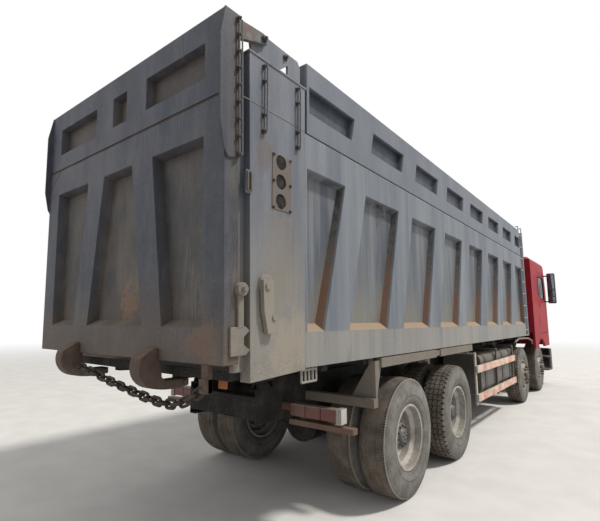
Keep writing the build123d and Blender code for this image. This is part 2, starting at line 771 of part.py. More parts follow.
def exhaust():
    can = rod_y(800, axle_1_y + 620, axle_1_y + 1180, 0, 150)
    return Pos(0, 0, 760) * can + block(frame_width / 2, 700, axle_1_y + 870, axle_1_y + 930, 800, 860)


def engine_block():
    shape = block(-300, 300, axle_1_y - 960, axle_1_y + 380, 690, 1330)
    web = frame_width / 2 - rail_web
    for y in (axle_1_y - 700, axle_1_y + 200):
        shape += block(-web, web, y - 50, y + 50, 800, 900)
    return shape


# Load body

def pocket(near_points, far_points, near_x, far_x, side):
    """A recess cut from outside, between an outline near the face and a smaller one deep in."""
    near = Plane.YZ.offset(near_x) * make_face(outline(near_points))
    far = Plane.YZ.offset(far_x) * make_face(outline(far_points))
    cut = loft([far, near], ruled=True)
    return cut if side > 0 else flip(cut)


def bay_cutter(rear_low, front_low, rear_high, front_high, z_low, z_high, depth, low_rise, high_drop, side):
    """Between two ribs: sloping ledge, soffit and flanks."""
    near = [(rear_low, z_low), (front_low, z_low), (front_high, z_high), (rear_high, z_high)]
    far = [
        (rear_low - rib_flank, z_low + low_rise), (front_low + rib_flank, z_low + low_rise),
        (front_high + rib_flank, z_high - high_drop), (rear_high - rib_flank, z_high - high_drop),
    ]
    return pocket(near, far, body_half_width + 1, body_half_width - depth, side)


def rib_edges(k, z):
    """Rear and front edge of rib k at height z; ribs lean forward as they rise."""
    start = body_rear_y - post_width - rib_first - rib_pitch * k - rib_lean * (z - sill_top_z)
    return start, start - rib_width


def bays(rear, z_low, z_high, depth, low_rise, high_drop, side):
    """The cutters of one side, from the rear post to the ladder."""
    ladder_edge = ladder_front_y + ladder_width + 20
    cutters = []
    for k in range(rib_count + 1):
        rear_low = rear if k == 0 else rib_edges(k - 1, z_low)[1]
        rear_high = rear if k == 0 else rib_edges(k - 1, z_high)[1]
        front_low = ladder_edge if k == rib_count else rib_edges(k, z_low)[0]
        front_high = ladder_edge if k == rib_count else rib_edges(k, z_high)[0]
        cutters.append(bay_cutter(
            rear_low, front_low, rear_high, front_high, z_low, z_high, depth, low_rise, high_drop, side))
    return cutters


def ladder_slot(z0, z1):
    """Room for the rungs in the right side's front corner."""
    return block(
        -body_half_width - 1, -body_half_width + ladder_depth, ladder_front_y, ladder_front_y + ladder_width, z0, z1)


def side_wall(side):
    front = body_front_y + front_wall_depth
    rear = body_rear_y - post_width
    shape = block(side * body_inner_x, side * body_half_width, front, rear, sill_bottom_z, belt_top_z)
    for cutter in bays(rear - 24, sill_top_z, belt_bottom_z, bay_depth, ledge_rise, soffit_drop, side):
        shape -= cutter
    if side < 0:
        shape -= ladder_slot(ladder_bottom_z, belt_top_z + 1)
    return shape


def side_board(side):
    front = body_front_y + front_wall_depth
    rear = body_rear_y - post_width - 24
    z0 = belt_top_z + board_joint
    shape = block(side * body_inner_x, side * body_half_width, front, rear, z0, board_top_z)
    shape += block(side * body_inner_x, side * (body_inner_x + 22), front, rear, belt_top_z, z0)
    for cutter in bays(rear - 30, window_bottom_z, window_top_z, window_depth, 6, 6, side):
        shape -= cutter
    if side < 0:
        shape -= ladder_slot(belt_top_z + 1, board_top_z + 1)
    return shape


def ladder():
    """Two rails with rungs, sunk in the side, and a grab loop on each rail above the board."""
    x = -body_half_width
    back = x + ladder_depth
    y0, y1 = ladder_front_y, ladder_front_y + ladder_width
    pieces = []
    for y in (y0 + 16, y1 - 16):
        pieces.append(block(back, x + 6, y - 14, y + 14, ladder_bottom_z, board_top_z - 4))
        loop = block(back, x + 6, y - 12, y + 12, board_top_z - 60, board_top_z + 104)
        pieces.append(loop - block(back + 16, x + 22, y - 13, y + 13, board_top_z - 44, board_top_z + 88))
    for k in range(rung_count):
        z = ladder_bottom_z + 100 + k * (board_top_z - ladder_bottom_z - 180) / (rung_count - 1)
        pieces.append(rod_y(x + 26, y0 + 16, y1 - 16, z, rung_radius))
    return joined(pieces)


def hoist_recess(grow, z_low):
    """The sloping hollow at the front wall's middle that the hoist leans into as the body rises."""
    half = hoist_recess_width / 2 + grow
    slope = (hoist_recess_depth - 40) / (hoist_recess_top_z - floor_z)
    low_depth = hoist_recess_depth + slope * (floor_z - z_low)
    front = body_front_y - 1
    return prism_x([
        (front, z_low), (body_front_y + low_depth + grow, z_low),
        (body_front_y + 40 + grow, hoist_recess_top_z + grow), (front, hoist_recess_top_z + grow),
    ], -half, half)


def front_wall():
    y0, y1 = body_front_y, body_front_y + front_wall_depth
    half = body_half_width
    shape = block(-half, half, y0, y1, sill_bottom_z, board_top_z)
    rib = 80
    inner = hoist_recess_width / 2 + rib
    bay = (half - 175 - inner - rib) / 2
    for side in (1, -1):
        for k in range(2):
            x0 = side * (inner + (bay + rib) * k)
            x1 = side * (inner + (bay + rib) * k + bay)
            shape -= block(x0, x1, y0 - 1, y0 + 60, sill_top_z, belt_bottom_z)
            shape -= block(x0, x1, y0 - 1, y0 + 50, window_bottom_z, window_top_z)
    shape -= block(-130, 130, y0 - 1, y0 + 50, window_bottom_z, window_top_z)
    shape += hoist_recess(wall_skin, floor_z)
    shape -= hoist_recess(0, sill_bottom_z - 1)
    shape -= ladder_slot(ladder_bottom_z, board_top_z + 1)
    # Two ears for the hoist's top pin, with the pin's ends standing free of the eye between them
    y, z = hoist_eye_y, hoist_eye_z
    for side in (1, -1):
        ear = prism_x([
            (y0, z - 58), (y0, z + 120), (y - 20, z + 58), (y - 58, z + 20), (y - 58, z - 30), (y - 20, z - 58),
        ], side * 150, side * 176)
        shape += ear + rod_x(side * 120, side * 182, y, z, 26)
    return shape


def body_floor():
    inner = body_inner_x
    y0, y1 = body_front_y + front_wall_depth, gate_front_y(floor_z)
    shape = block(-inner, inner, y0, y1, floor_z, floor_z + floor_thickness)
    beam_z = floor_z - cross_beam_height
    beam_count = 14
    first, last = y0 + 120, body_rear_y - 260
    for k in range(beam_count):
        y = first + k * (last - first) / (beam_count - 1)
        shape += block(-inner, inner, y - 35, y + 35, beam_z, floor_z)
    shape += block(-inner, inner, body_rear_y - 60, y1, floor_z - rear_beam_height, floor_z)
    rail_x = frame_width / 2 - rail_flange / 2
    rear_y = body_rear_y - 60
    for side in (1, -1):
        x = side * rail_x
        shape += prism_x([
            (y0, runner_bottom_z + 70), (y0 + 120, runner_bottom_z), (tip_hinge_y - 200, runner_bottom_z),
            (tip_hinge_y + 260, runner_bottom_z + 60), (rear_y, runner_bottom_z + 90), (rear_y, floor_z), (y0, floor_z),
        ], x - runner_half_width, x + runner_half_width)
    shape -= hoist_recess(wall_skin, runner_bottom_z)
    # Hinge ears that hang between the frame's cheeks
    for side in (1, -1):
        x = side * rail_x
        ear = prism_x([
            (tip_hinge_y - tip_ear_radius, tip_hinge_z), (tip_hinge_y + tip_ear_radius, tip_hinge_z),
            (tip_hinge_y + 110, runner_bottom_z + 60), (tip_hinge_y - 110, runner_bottom_z + 60),
        ], x - 12, x + 12)
        shape += ear + rod_x(x - 12, x + 12, tip_hinge_y, tip_hinge_z, tip_ear_radius)
        shape -= rod_x(x - 40, x + 40, tip_hinge_y, tip_hinge_z, tip_pin_radius + pivot_gap)
    return shape


def gate_face_y(z):
    """The closed tailgate's front face at height z."""
    lean = radians(rear_lean_deg)
    return gate_rear_y - gate_thickness / cos(lean) + tan(lean) * (z - gate_bottom_z)


def gate_front_y(z):
    """Where the body's rear edge ends, a running gap before the closed tailgate."""
    return gate_face_y(z) - running_gap


def rear_post(side):
    """Box post at the rear corner, its back edge leaned with the tailgate, with all that it carries."""
    front = body_rear_y - post_width
    lean = tan(radians(rear_lean_deg))
    back_low = body_rear_y
    back_high = body_rear_y + lean * (post_top_z - sill_bottom_z)
    x0, x1 = side * body_inner_x, side * body_half_width
    low = post_bottom_z
    post = prism_x([(front, low + 30), (back_low, low), (back_high, post_top_z), (front, post_top_z)], x0, x1)
    cap = block(x0, x1 + side * 6, front - 14, back_high + 6, post_top_z, post_top_z + 14)
    lip = prism_x([
        (back_low, floor_z), (gate_front_y(floor_z), floor_z), (gate_front_y(post_top_z), post_top_z), (back_high, post_top_z),
    ], x0, x0 + side * 30)
    # Lamp plate with three round wells
    plate_front = lamp_plate_y - lamp_plate_width
    plate = block(x1 - side * 1, x1 + side * 4, plate_front, lamp_plate_y, lamp_plate_bottom_z, lamp_plate_top_z)
    shape = joined([post, cap, lip, plate])
    lamp_centre = lamp_plate_y - lamp_plate_width * 0.45
    lamp_pitch = (lamp_plate_top_z - lamp_plate_bottom_z) * 0.355
    for k in range(3):
        z = lamp_plate_bottom_z + 61 + lamp_pitch * k
        shape -= rod_x(x1 + side * 5, x1 - side * lamp_hole_depth, lamp_centre, z, lamp_hole_radius)
    # Lock lever: a long plate that hangs from a pin, with its foot towards the front
    pin_y, pin_z = lever_pin_y, lever_pin_z
    foot_z = pin_z - lever_length
    near, far = x1 + side * 20, x1 + side * 40
    boss = rod_x(x1 - side * 1, near, pin_y - 14, pin_z + 20, 62)
    lever = prism_x([
        (pin_y + 42, pin_z + 40), (pin_y - 56, pin_z + 44), (pin_y - 79, foot_z), (pin_y - 6, foot_z),
        (pin_y + 30, pin_z - 150),
    ], x1 + side * 8, far)
    stub = rod_x(x1 - side * 1, far + side * 8, pin_y - 60, foot_z + 98, 18)
    # Lug ring for a rope at the post's back edge
    ring_low, ring_high = lamp_plate_bottom_z + 44, lamp_plate_bottom_z + 192
    ring_y = back_low - 8 + lean * (ring_low - low)
    ring = block(x1 - side * 1, x1 + side * 12, ring_y, ring_y + 54, ring_low, ring_high)
    ring -= block(x1 - side * 2, x1 + side * 13, ring_y + 17, ring_y + 37, ring_low + 24, ring_high - 24)
    return joined([shape, boss, lever, rod_x(near, far + side * 10, pin_y, pin_z, 22), stub, ring])


def top_bracket(side):
    """Plate on the post's top that carries the tailgate's hinge pin."""
    y1 = body_rear_y + 10
    y0 = y1 - 490
    z0 = post_top_z + 14
    x0, x1 = side * (body_half_width - 40), side * (body_half_width - 22)
    pin_y, pin_z = gate_hinge_y, gate_hinge_z
    plate = prism_x([
        (y1, z0), (pin_y + 112, pin_z + 49), (pin_y + 86, pin_z + 65), (y0 + 10, pin_z + 59), (y0 - 20, pin_z + 19), (y0 - 20, z0),
    ], x0, x1)
    hole_y = y1 - 262
    plate -= prism_x([
        (hole_y, z0 + 12), (hole_y - 104, pin_z - 33), (hole_y - 104, z0 + 12),
    ], x0 - side * 2, x1 + side * 2)
    return plate - rod_x(x0 - side * 2, x1 + side * 2, pin_y, pin_z, gate_pin_radius + pivot_gap)


# Tailgate, drawn upright and then leaned

def gate_window(x0_low, x1_low, x0_high, x1_high, z_low, z_high, depth, low_rise, high_drop):
    inset = 16
    near_points = [(x0_low, z_low), (x1_low, z_low), (x1_high, z_high), (x0_high, z_high)]
    far_points = [
        (x0_low + inset, z_low + low_rise), (x1_low - inset, z_low + low_rise), (x1_high - inset, z_high - high_drop),
        (x0_high + inset, z_high - high_drop),
    ]
    near = Pos(0, gate_rear_y + 1, 0) * (Plane.XZ * make_face(outline(near_points)))
    far = Pos(0, gate_rear_y - depth, 0) * (Plane.XZ * make_face(outline(far_points)))
    return loft([far, near], ruled=True)


def gate_lower():
    """Main panel: a rail at the foot, a head rail, and two hat ribs that lean together."""
    y0, y1 = gate_rear_y - gate_thickness, gate_rear_y
    half = body_half_width
    shape = block(-half, half, y0, y1, gate_bottom_z, gate_joint_z)
    edge = half - 185
    low, high = gate_bottom_z + gate_rail_height, gate_joint_z - gate_head_height
    windows = [  # left and right edge at the foot, then at the head
        (-edge, -605, -edge, -456),
        (-383, 383, -200, 200),
        (605, edge, 456, edge),
    ]
    for x0_low, x1_low, x0_high, x1_high in windows:
        shape -= gate_window(x0_low, x1_low, x0_high, x1_high, low, high, gate_bay_depth, 41, 20)
    return shape


def gate_upper():
    """Extension board with three windows, and a cheek at each end that laps the rear posts."""
    y0, y1 = gate_rear_y - gate_thickness, gate_rear_y
    half = body_half_width
    board_low = gate_joint_z + board_joint
    shape = block(-half, half, y0, y1, board_low, gate_top_z)
    shape += block(-half, half, y0, y1 - 30, gate_joint_z, board_low)
    low, high = gate_joint_z + gate_board_rail, gate_top_z - gate_board_head
    edge = half - 180
    for x0, x1 in ((-edge, -359), (-99, 99), (359, edge)):
        shape -= gate_window(x0, x1, x0, x1, low, high, 70, 6, 6)
    for side in (1, -1):
        x0, x1 = side * half, side * (half + cheek_thickness)
        shape += prism_x([
            (y0, gate_joint_z - 375), (y1 - 20, gate_joint_z - 395), (y1 + 14, gate_joint_z - 335),
            (y1 + 44, gate_joint_z - 175), (y1 + 44, gate_top_z - 200), (y1 + 4, gate_top_z), (y0, gate_top_z),
        ], x0, x1)
    return shape


def gate_arm(side):
    """Arm from the tailgate's head forward to the hinge pin."""
    x0, x1 = side * (body_half_width - 16), side * (body_half_width + cheek_thickness)
    y, z = gate_hinge_y, gate_hinge_z
    arm = prism_x([
        (gate_face_y(gate_top_z - 20), gate_top_z - 20), (gate_face_y(gate_top_z - 150), gate_top_z - 150),
        (y + 20, z - 40), (y - 36, z - 20), (y - 36, z + 24), (y, z + 40),
    ], x0, x1)
    return arm + rod_x(side * (body_half_width - 60), x1, y, z, gate_pin_radius)


def gate_latch(side):
    """At the gate's lower edge: a pin in its boss, a strap that hangs from it, and a toothed plate."""
    x1 = side * body_half_width
    y, z = gate_rear_y - 123, latch_z
    boss = rod_x(x1, x1 + side * 35, y, z, 40)
    pin = rod_x(x1, x1 + side * 62, y, z, 17)
    low, high = latch_teeth_z, latch_teeth_z + latch_teeth_height
    strap = block(x1, x1 + side * 16, y - 22, y + 23, high - 6, z - 18)
    front, back = gate_rear_y - 194, gate_rear_y - 44
    middle = (low + high) / 2
    teeth = prism_x([
        (back, low), (back, high), (front + 34, high), (front, high - 26), (front + 46, middle + 22),
        (front + 46, middle - 22), (front, low + 26), (front + 34, low),
    ], x1, x1 + side * 14)
    return joined([boss, pin, strap, teeth])


def claw(side):
    """Hook under the gate: a bevelled tip against its face, a round back, and a tail forwards."""
    x0, x1 = side * (claw_x - claw_width / 2), side * (claw_x + claw_width / 2)
    y, z = gate_rear_y, gate_bottom_z
    low = z - 186
    curve = [
        Line((y, z + 76), (y + 30, z + 76)),
        Line((y + 30, z + 76), (y + 122, z + 22)),
        ThreePointArc((y + 122, z + 22), (y + 128, z - 82), (y + 40, z - 172)),
        ThreePointArc((y + 40, z - 172), (y - 90, z - 194), (y - 240, low)),
        Line((y - 240, low), (y - 240, low + 48)),
        Line((y - 240, low + 48), (y - 60, z - 136)),
        Line((y - 60, z - 136), (y - 30, z - 108)),
        Line((y - 30, z - 108), (y - 26, z - 1)),
        Line((y - 26, z - 1), (y, z - 1)),
        Line((y, z - 1), (y, z + 76)),
    ]
    face = Plane.YZ.offset(min(x0, x1)) * make_face(curve)
    body = extrude(face, amount=abs(x1 - x0), dir=(1, 0, 0))
    return body + rod_x(x0 - side * 14, x1 + side * 14, y - 206, low + 24, 16)


def claws_and_chain():
    """A slack chain of separate links, from the left claw to a lug under the gate's right end."""
    y = gate_rear_y + 15
    x, z = chain_start_x, chain_start_z
    pitch = chain_link_length - 2 * chain_bar - chain_play
    half_width = chain_link_width / 2
    half = chain_link_length / 2
    flat_link = prism_z([
        (-half, -20), (-half + 18, -half_width), (half - 18, -half_width), (half, -20), (half, 20), (half - 18, half_width),
        (-half + 18, half_width), (-half, 20),
    ], -chain_bar / 2, chain_bar / 2)
    eye, eye_half = half - chain_bar, half_width - chain_bar
    flat_link -= block(-eye, eye, -eye_half, eye_half, -chain_bar, chain_bar)
    links = []
    for k, turn in enumerate(chain_turns):
        next_x = x - pitch * cos(radians(turn))
        next_z = z - pitch * sin(radians(turn))
        roll = 90 * (k % 2)
        links.append(Pos((x + next_x) / 2, y, (z + next_z) / 2) * Rot(0, -turn, 0) * Rot(roll, 0, 0) * flat_link)
        x, z = next_x, next_z
    lug = block(x - 34, x + 26, y - 44, y - 10, z - 20, gate_bottom_z - 1)
    links[-1] += block(x - 34, x + 26, y - 44, y + 8, z - 20, z + 60) + lug
    links[0] += claw(1)
    return [claw(-1)] + links


# Hoist

def hoist_placed(shape):
    return Pos(0, hoist_base_y, hoist_base_z) * Rot(-hoist_lean_deg, 0, 0) * shape


def hoist_barrel():
    """Drawn upright from the trunnion, as are the stages."""
    top = hoist_barrel_length
    bore = hoist_stages[0][0] + 2
    shape = rod_z(0, 0, -hoist_tail, top, hoist_barrel_radius) + rod_z(0, 0, top - 60, top, hoist_barrel_radius + 8)
    shape -= rod_z(0, 0, 30 - hoist_tail, top + 1, bore)
    for side in (1, -1):
        shape += rod_x(side * (hoist_barrel_radius - 6), side * (hoist_seat_x + 40), 0, 0, hoist_trunnion_radius)
    return shape


def hoist_stage(k):
    radius, bore, collar = hoist_stages[k]
    low = 30 - hoist_tail + pivot_gap + (5 + pivot_gap) * k
    top = hoist_barrel_length + hoist_collar_step * (k + 1)
    if bore > 0:
        shape = rod_z(0, 0, low, top, radius) + rod_z(0, 0, top - 24, top, collar)
        return shape - rod_z(0, 0, low + 5, top + 1, bore)
    shape = rod_z(0, 0, low, hoist_length - 10, radius) + rod_x(-46, 46, 0, hoist_length, hoist_eye_radius)
    shape -= rod_x(-47, 47, 0, hoist_length, 27)
    return shape - rod_z(0, 0, low + 20, hoist_length - 140, radius - 14)


# Cab

def cab_outside():
    """Side view of the cab with its raked screen and brow, rounded in plan and at the roof's edges."""
    half, rear = cab_half_width, cab_rear_y
    side_view = prism_x([
        (rear, cab_skirt_z), (cab_front_y + 20, cab_skirt_z), (cab_front_y, cab_skirt_z + 200),
        (cab_front_y + 20, 1900), (cab_front_y + 260, 2860), (cab_front_y + 290, 2960), (cab_front_y + 350, cab_roof_z - 50),
        (cab_front_y + 430, cab_roof_z - 10), (cab_front_y + 540, cab_roof_z), (rear - 60, cab_roof_z),
        (rear, cab_roof_z - 60),
    ], -half, half)
    plan = prism_z([
        (-half, rear + 400), (-half, cab_front_y), (half, cab_front_y), (half, rear + 400),
    ], cab_skirt_z - 1, cab_roof_z + 1, cab_corner_radius)
    front_view = prism_y([
        (-half, cab_skirt_z - 400), (half, cab_skirt_z - 400), (half, cab_roof_z), (-half, cab_roof_z),
    ], cab_front_y - 1, rear + 1, cab_roof_radius)
    return side_view & plan & front_view


def cab_inside():
    half, wall = cab_half_width - cab_wall, cab_wall
    side_view = prism_x([
        (cab_rear_y - wall, cab_floor_z), (cab_front_y + 60, cab_floor_z), (cab_front_y + 50, 1900),
        (cab_front_y + 300, 2850), (cab_front_y + 420, cab_roof_z - wall - 20), (cab_front_y + 540, cab_roof_z - wall),
        (cab_rear_y - 90, cab_roof_z - wall), (cab_rear_y - wall, cab_roof_z - 100),
    ], -half, half)
    plan = prism_z([
        (-half, cab_rear_y + 400), (-half, cab_front_y + wall), (half, cab_front_y + wall), (half, cab_rear_y + 400),
    ], cab_skirt_z - 1, cab_roof_z + 1, cab_corner_radius - wall)
    front_view = prism_y([
        (-half, cab_skirt_z), (half, cab_skirt_z), (half, cab_roof_z - wall), (-half, cab_roof_z - wall),
    ], cab_front_y, cab_rear_y, cab_roof_radius - wall)
    return side_view & plan & front_view


def screen_slab(near, far, half_width):
    """A slab along the raked windscreen, between two depths behind the screen line."""
    rake = 0.25
    low_y = cab_front_y + 20 + rake * (screen_low_z - 1900)
    high_y = cab_front_y + 20 + rake * (screen_high_z - 1900)
    return prism_x([
        (low_y + near, screen_low_z), (low_y + far, screen_low_z), (high_y + far, screen_high_z),
        (high_y + near, screen_high_z),
    ], -half_width, half_width)


def cab_shell():
    shape = cab_outside() - cab_inside()
    half = cab_half_width
    # Everything under the floor between the skirts is open for engine, frame and wheels
    shape -= block(
        -half + cab_wall, half - cab_wall, cab_front_y + 60, cab_rear_y + 1, cab_skirt_z - 1, cab_floor_z - cab_wall)
    for side in (1, -1):
        # Wheel arch with its lip
        lip = rod_x(side * (half - 30), side * (half + 10), axle_1_y, wheel_z, arch_radius + arch_lip)
        shape += lip & block(side * (half - 31), side * (half + 11), axle_1_y - 700, axle_1_y + 700, cab_skirt_z, cab_roof_z)
        shape -= rod_x(side * (half - 60), side * (half + 20), axle_1_y, wheel_z, arch_radius)
        # Doorway with a rebate for the door
        rebate = half - door_thickness - pivot_gap
        for depth, grow in ((rebate, door_gap), (half - cab_wall - 1, -door_lap)):
            shape -= block(
                side * depth, side * (half + 10), door_front_y - grow, door_front_y + door_width + grow,
                door_bottom_z - grow, door_top_z + grow)
    shape -= screen_slab(-60, 130, screen_half_width)
    low, high = rear_window_z
    shape -= block(-rear_window_half_width, rear_window_half_width, cab_rear_y - 60, cab_rear_y + 10, low, high)
    # Pressed ribs in the rear wall under its window
    for k in range(5):
        x = -800 + 400 * k
        shape -= block(x - 110, x + 110, cab_rear_y - 10, cab_rear_y + 1, cab_floor_z + 120, low - 120)
    return shape


def cab_glass():
    low, high = rear_window_z
    rear = block(-rear_window_half_width, rear_window_half_width, cab_rear_y - 26, cab_rear_y - 20, low, high)
    return [screen_slab(10, 16, screen_half_width), rear]


def door_window(x0, x1):
    y0, y1 = door_front_y, door_front_y + door_width
    return prism_x([
        (y0 + 90, door_sill_front_z), (y1 - 90, door_sill_rear_z), (y1 - 90, door_window_top_z),
        (y0 + 190, door_window_top_z), (y0 + 90, door_window_top_z - 210),
    ], x0, x1)


def door(side):
    y0, y1 = door_front_y, door_front_y + door_width
    x0, x1 = side * (cab_half_width - door_thickness), side * cab_half_width
    shape = block(x0, x1, y0, y1, door_bottom_z, door_top_z)
    shape -= door_window(x0 - side * 5, x1 + side * 5)
    # Hollow inner side, and a recess behind the handle bar
    shape -= block(x0 - side * 1, x1 - side * 16, y0 + 60, y1 - 60, door_bottom_z + 60, door_sill_front_z - 60)
    handle_z = door_sill_front_z - 130
    shape -= block(x1 - side * 12, x1 + side * 1, y1 - 230, y1 - 80, handle_z - 32, handle_z + 32)
    return shape + block(x1 - side * 3, x1, y1 - 231, y1 - 79, handle_z - 9, handle_z + 9)


def door_glass(side):
    x = side * (cab_half_width - 20)
    return door_window(x, x + side * 5)


def sun_visor():
    """Plate over the windscreen on three fins from the brow."""
    (top_y, top_z), (low_y, low_z) = visor_top, visor_front
    half = screen_half_width - 10
    shape = prism_x([
        (top_y, top_z), (low_y, low_z), (low_y + 6, low_z - 22), (top_y + 8, top_z - 24),
    ], -half, half)
    for x in (-half + 20, 0, half - 20):
        shape += prism_x([
            (top_y + 4, top_z - 20), (low_y + 20, low_z + 4), (cab_front_y + 290, 2960), (cab_front_y + 350, cab_roof_z - 50),
        ], x - 10, x + 10)
    return shape


def cab_trim():
    front = cab_front_y
    grille = block(-900, 900, front - 24, front, 1150, 1800)
    for k in range(5):
        z = 1210 + 116 * k
        grille -= block(-860, 860, front - 25, front - 8, z, z + 76)
    shapes = [grille, sun_visor()]
    for side in (1, -1):
        inner = cab_bracket_x + cab_bracket_wall + running_gap
        x0, x1 = side * inner, side * (inner + 34)
        bracket = block(x0, x1, front + 60, cab_pivot_y + 60, cab_pivot_z, cab_floor_z - cab_wall)
        bracket += rod_x(x0, x1, cab_pivot_y, cab_pivot_z, 46)
        bracket -= rod_x(x0 - side * 10, x1 + side * 6, cab_pivot_y, cab_pivot_z, cab_pin_radius + pivot_gap)
        shapes.append(bracket)
    return shapes


def mirror_case(side):
    x0, x1 = side * (cab_half_width + 90), side * (cab_half_width + 270)
    y = door_front_y + 30
    z0, z1 = door_sill_front_z - 50, door_top_z + 30
    shape = fillet(block(x0, x1, y, y + 110, z0, z1).edges(), 26)
    for z in (z0 + 30, z1 - 80):
        shape += block(side * cab_half_width, side * (cab_half_width + 130), y + 44, y + 72, z, z + 30)
    return shape


def cab_interior():
    front = cab_front_y
    dash = prism_x([
        (front + 70, cab_floor_z), (front + 430, cab_floor_z), (front + 460, 1780), (front + 380, 1900), (front + 70, 1880),
    ], -1150, 1150)
    wheel = Pos(620, front + 560, 2010) * Rot(58, 0, 0) * (Torus(225, 15) + Cylinder(52, 26) + Box(430, 34, 14))
    column = Pos(620, front + 560, 2010) * Rot(58, 0, 0) * Pos(0, 0, -140) * Cylinder(34, 280)
    shapes = [joined([dash, column, wheel])]
    for x in (620, -620):
        seat = block(x - 260, x + 260, front + 1000, front + 1500, cab_floor_z, 1850)
        seat += block(x - 250, x + 250, front + 1430, front + 1560, 1850, 2560)
        shapes.append(seat)
    return shapes


os.makedirs("parts", exist_ok=True)
sides = (1, -1)
rear_pivot = (gate_rear_y, gate_bottom_z)

save("chassis_frame", *[frame_rail(side) for side in sides])
save("cross_members", *cross_members())
save(
    "frame_brackets", bogie_carrier(), cab_rest(),
    *[make(side) for make in (tip_cheeks, cab_brackets, hoist_seat) for side in sides],
    *[hanger for side in sides for hanger in spring_hangers(side)])
save("steer_axles", steer_beam(axle_1_y), steer_beam(axle_2_y))
save("drive_axles", drive_axle(axle_3_y), drive_axle(axle_4_y))
save("leaf_springs", *steer_springs(), *bogie_springs())
save("engine_block", engine_block())
save("fuel_tank", fuel_tank(), *tank_straps())
save("left_tanks", *left_boxes(), exhaust())
save("side_guards", *[side_guard(side) for side in sides])
save("fenders", *[make(side) for make in (rear_fender, guard_tube) for side in sides])
save("tail_lamps", *[tail_lamp(side) for side in sides])
save("bumper", bumper())

for number, axle_y in ((1, axle_1_y), (2, axle_2_y)):
    save(f"tie_rod_{number}", tie_rod(axle_y))
    for letter, side in (("left", 1), ("right", -1)):
        save(f"knuckle_{number}_{letter}", knuckle(axle_y, side))
        save(f"tyre_{number}_{letter}", tyre(side * front_track / 2, axle_y, side))
        save(f"rim_{number}_{letter}", front_rim(side * front_track / 2, axle_y, side))

for number, axle_y in ((3, axle_3_y), (4, axle_4_y)):
    for letter, side in (("left", 1), ("right", -1)):
        middle = side * rear_track / 2
        offset = dual_spacing / 2
        save(f"tyre_{number}_{letter}", tyre(middle + offset, axle_y, side), tyre(middle - offset, axle_y, side))
        save(f"rim_{number}_{letter}", rear_rims(axle_y, side))

save("body_floor", body_floor())
save("body_sides", side_wall(1), side_wall(-1))
save("side_boards", side_board(1), side_board(-1))
save("front_wall", front_wall())
save("rear_posts", *[post(side) for post in (rear_post, top_bracket) for side in sides])
save("ladder", ladder())

save("tailgate", leaned(gate_lower(), *rear_pivot))
save("tailgate_board", leaned(gate_upper(), *rear_pivot))
save("tailgate_arms", *[gate_arm(side) for side in sides], *[leaned(gate_latch(side), *rear_pivot) for side in sides])
save("tailgate_hooks", *[leaned(piece, *rear_pivot) for piece in claws_and_chain()])

save("hoist_barrel", hoist_placed(hoist_barrel()))
for index in range(len(hoist_stages)):
    save(f"hoist_stage_{index + 1}", hoist_placed(hoist_stage(index)))

save("cab_shell", cab_shell())
save("cab_glass", *cab_glass())
save("cab_trim", *cab_trim())
save("cab_interior", *cab_interior())
for letter, side in (("left", 1), ("right", -1)):
    save(f"door_{letter}", door(side))
    save(f"door_glass_{letter}", door_glass(side))
    save(f"mirror_{letter}", mirror_case(side))
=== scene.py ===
# %% [markdown]
# # A four-axle dump truck
# This lesson dresses a finished CAD model of a hard-worked tipping truck. The CAD model gives every piece its true
# size and place, and the lesson adds what the eye looks for: faded paint, sandy dust, rust, tyre tread, nuts and
# bolts. It starts by loading the model as a fixed frame, because each later piece is placed by what is already there.

# %% Load the frame
from math import atan2, cos, hypot, pi, radians, sin
import bmesh
import bpy
from mathutils import Matrix, Vector


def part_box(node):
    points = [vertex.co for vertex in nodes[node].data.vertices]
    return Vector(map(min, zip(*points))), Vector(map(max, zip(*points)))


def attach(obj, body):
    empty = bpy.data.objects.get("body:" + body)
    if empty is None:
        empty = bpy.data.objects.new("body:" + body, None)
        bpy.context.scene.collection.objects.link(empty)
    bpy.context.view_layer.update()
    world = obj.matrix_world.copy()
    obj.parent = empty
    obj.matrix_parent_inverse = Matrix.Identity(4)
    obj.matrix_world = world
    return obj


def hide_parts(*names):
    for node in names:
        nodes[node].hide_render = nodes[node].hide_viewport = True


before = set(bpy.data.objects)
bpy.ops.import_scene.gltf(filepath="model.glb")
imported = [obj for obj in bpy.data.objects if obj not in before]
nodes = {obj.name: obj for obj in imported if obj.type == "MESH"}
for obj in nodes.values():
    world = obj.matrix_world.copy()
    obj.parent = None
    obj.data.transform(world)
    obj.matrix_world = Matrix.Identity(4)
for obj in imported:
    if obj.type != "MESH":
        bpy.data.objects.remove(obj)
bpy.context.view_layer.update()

# %% [markdown]
# ## Camera
# The camera comes first, because every later choice is judged through it. It stands behind the truck's right side at
# about eye height, and its lens is written as the focal length that fits the view's width on a 36 mm wide sensor.

# %% Camera
image_width = 600
image_focal_length = 421.76
sensor_width = 36.0


def add_object(name, data):
    made = bpy.data.objects.new(name, data)
    bpy.context.scene.collection.objects.link(made)
    return made


camera_data = bpy.data.cameras.new("camera")
camera_data.sensor_width = sensor_width
camera_data.lens = sensor_width * image_focal_length / image_width
camera = add_object("camera", camera_data)
camera.location = (-2.979, 7.281, 1.633)
camera.rotation_euler = (radians(98.059), 0, radians(217.949))
bpy.context.scene.camera = camera
print("camera:", round(camera_data.lens, 2), "mm lens")

# %% [markdown]
# ## Sums that build node trees
# A material is a tree of nodes, and long lists of nodes are hard to read. So each node's output is kept as a Value,
# and plain sums on values add the nodes that work them out. `mask` turns a range into a soft step, and `mix` blends
# two colours, each given as a value or as red, green and blue on a screen, 0 to 255.

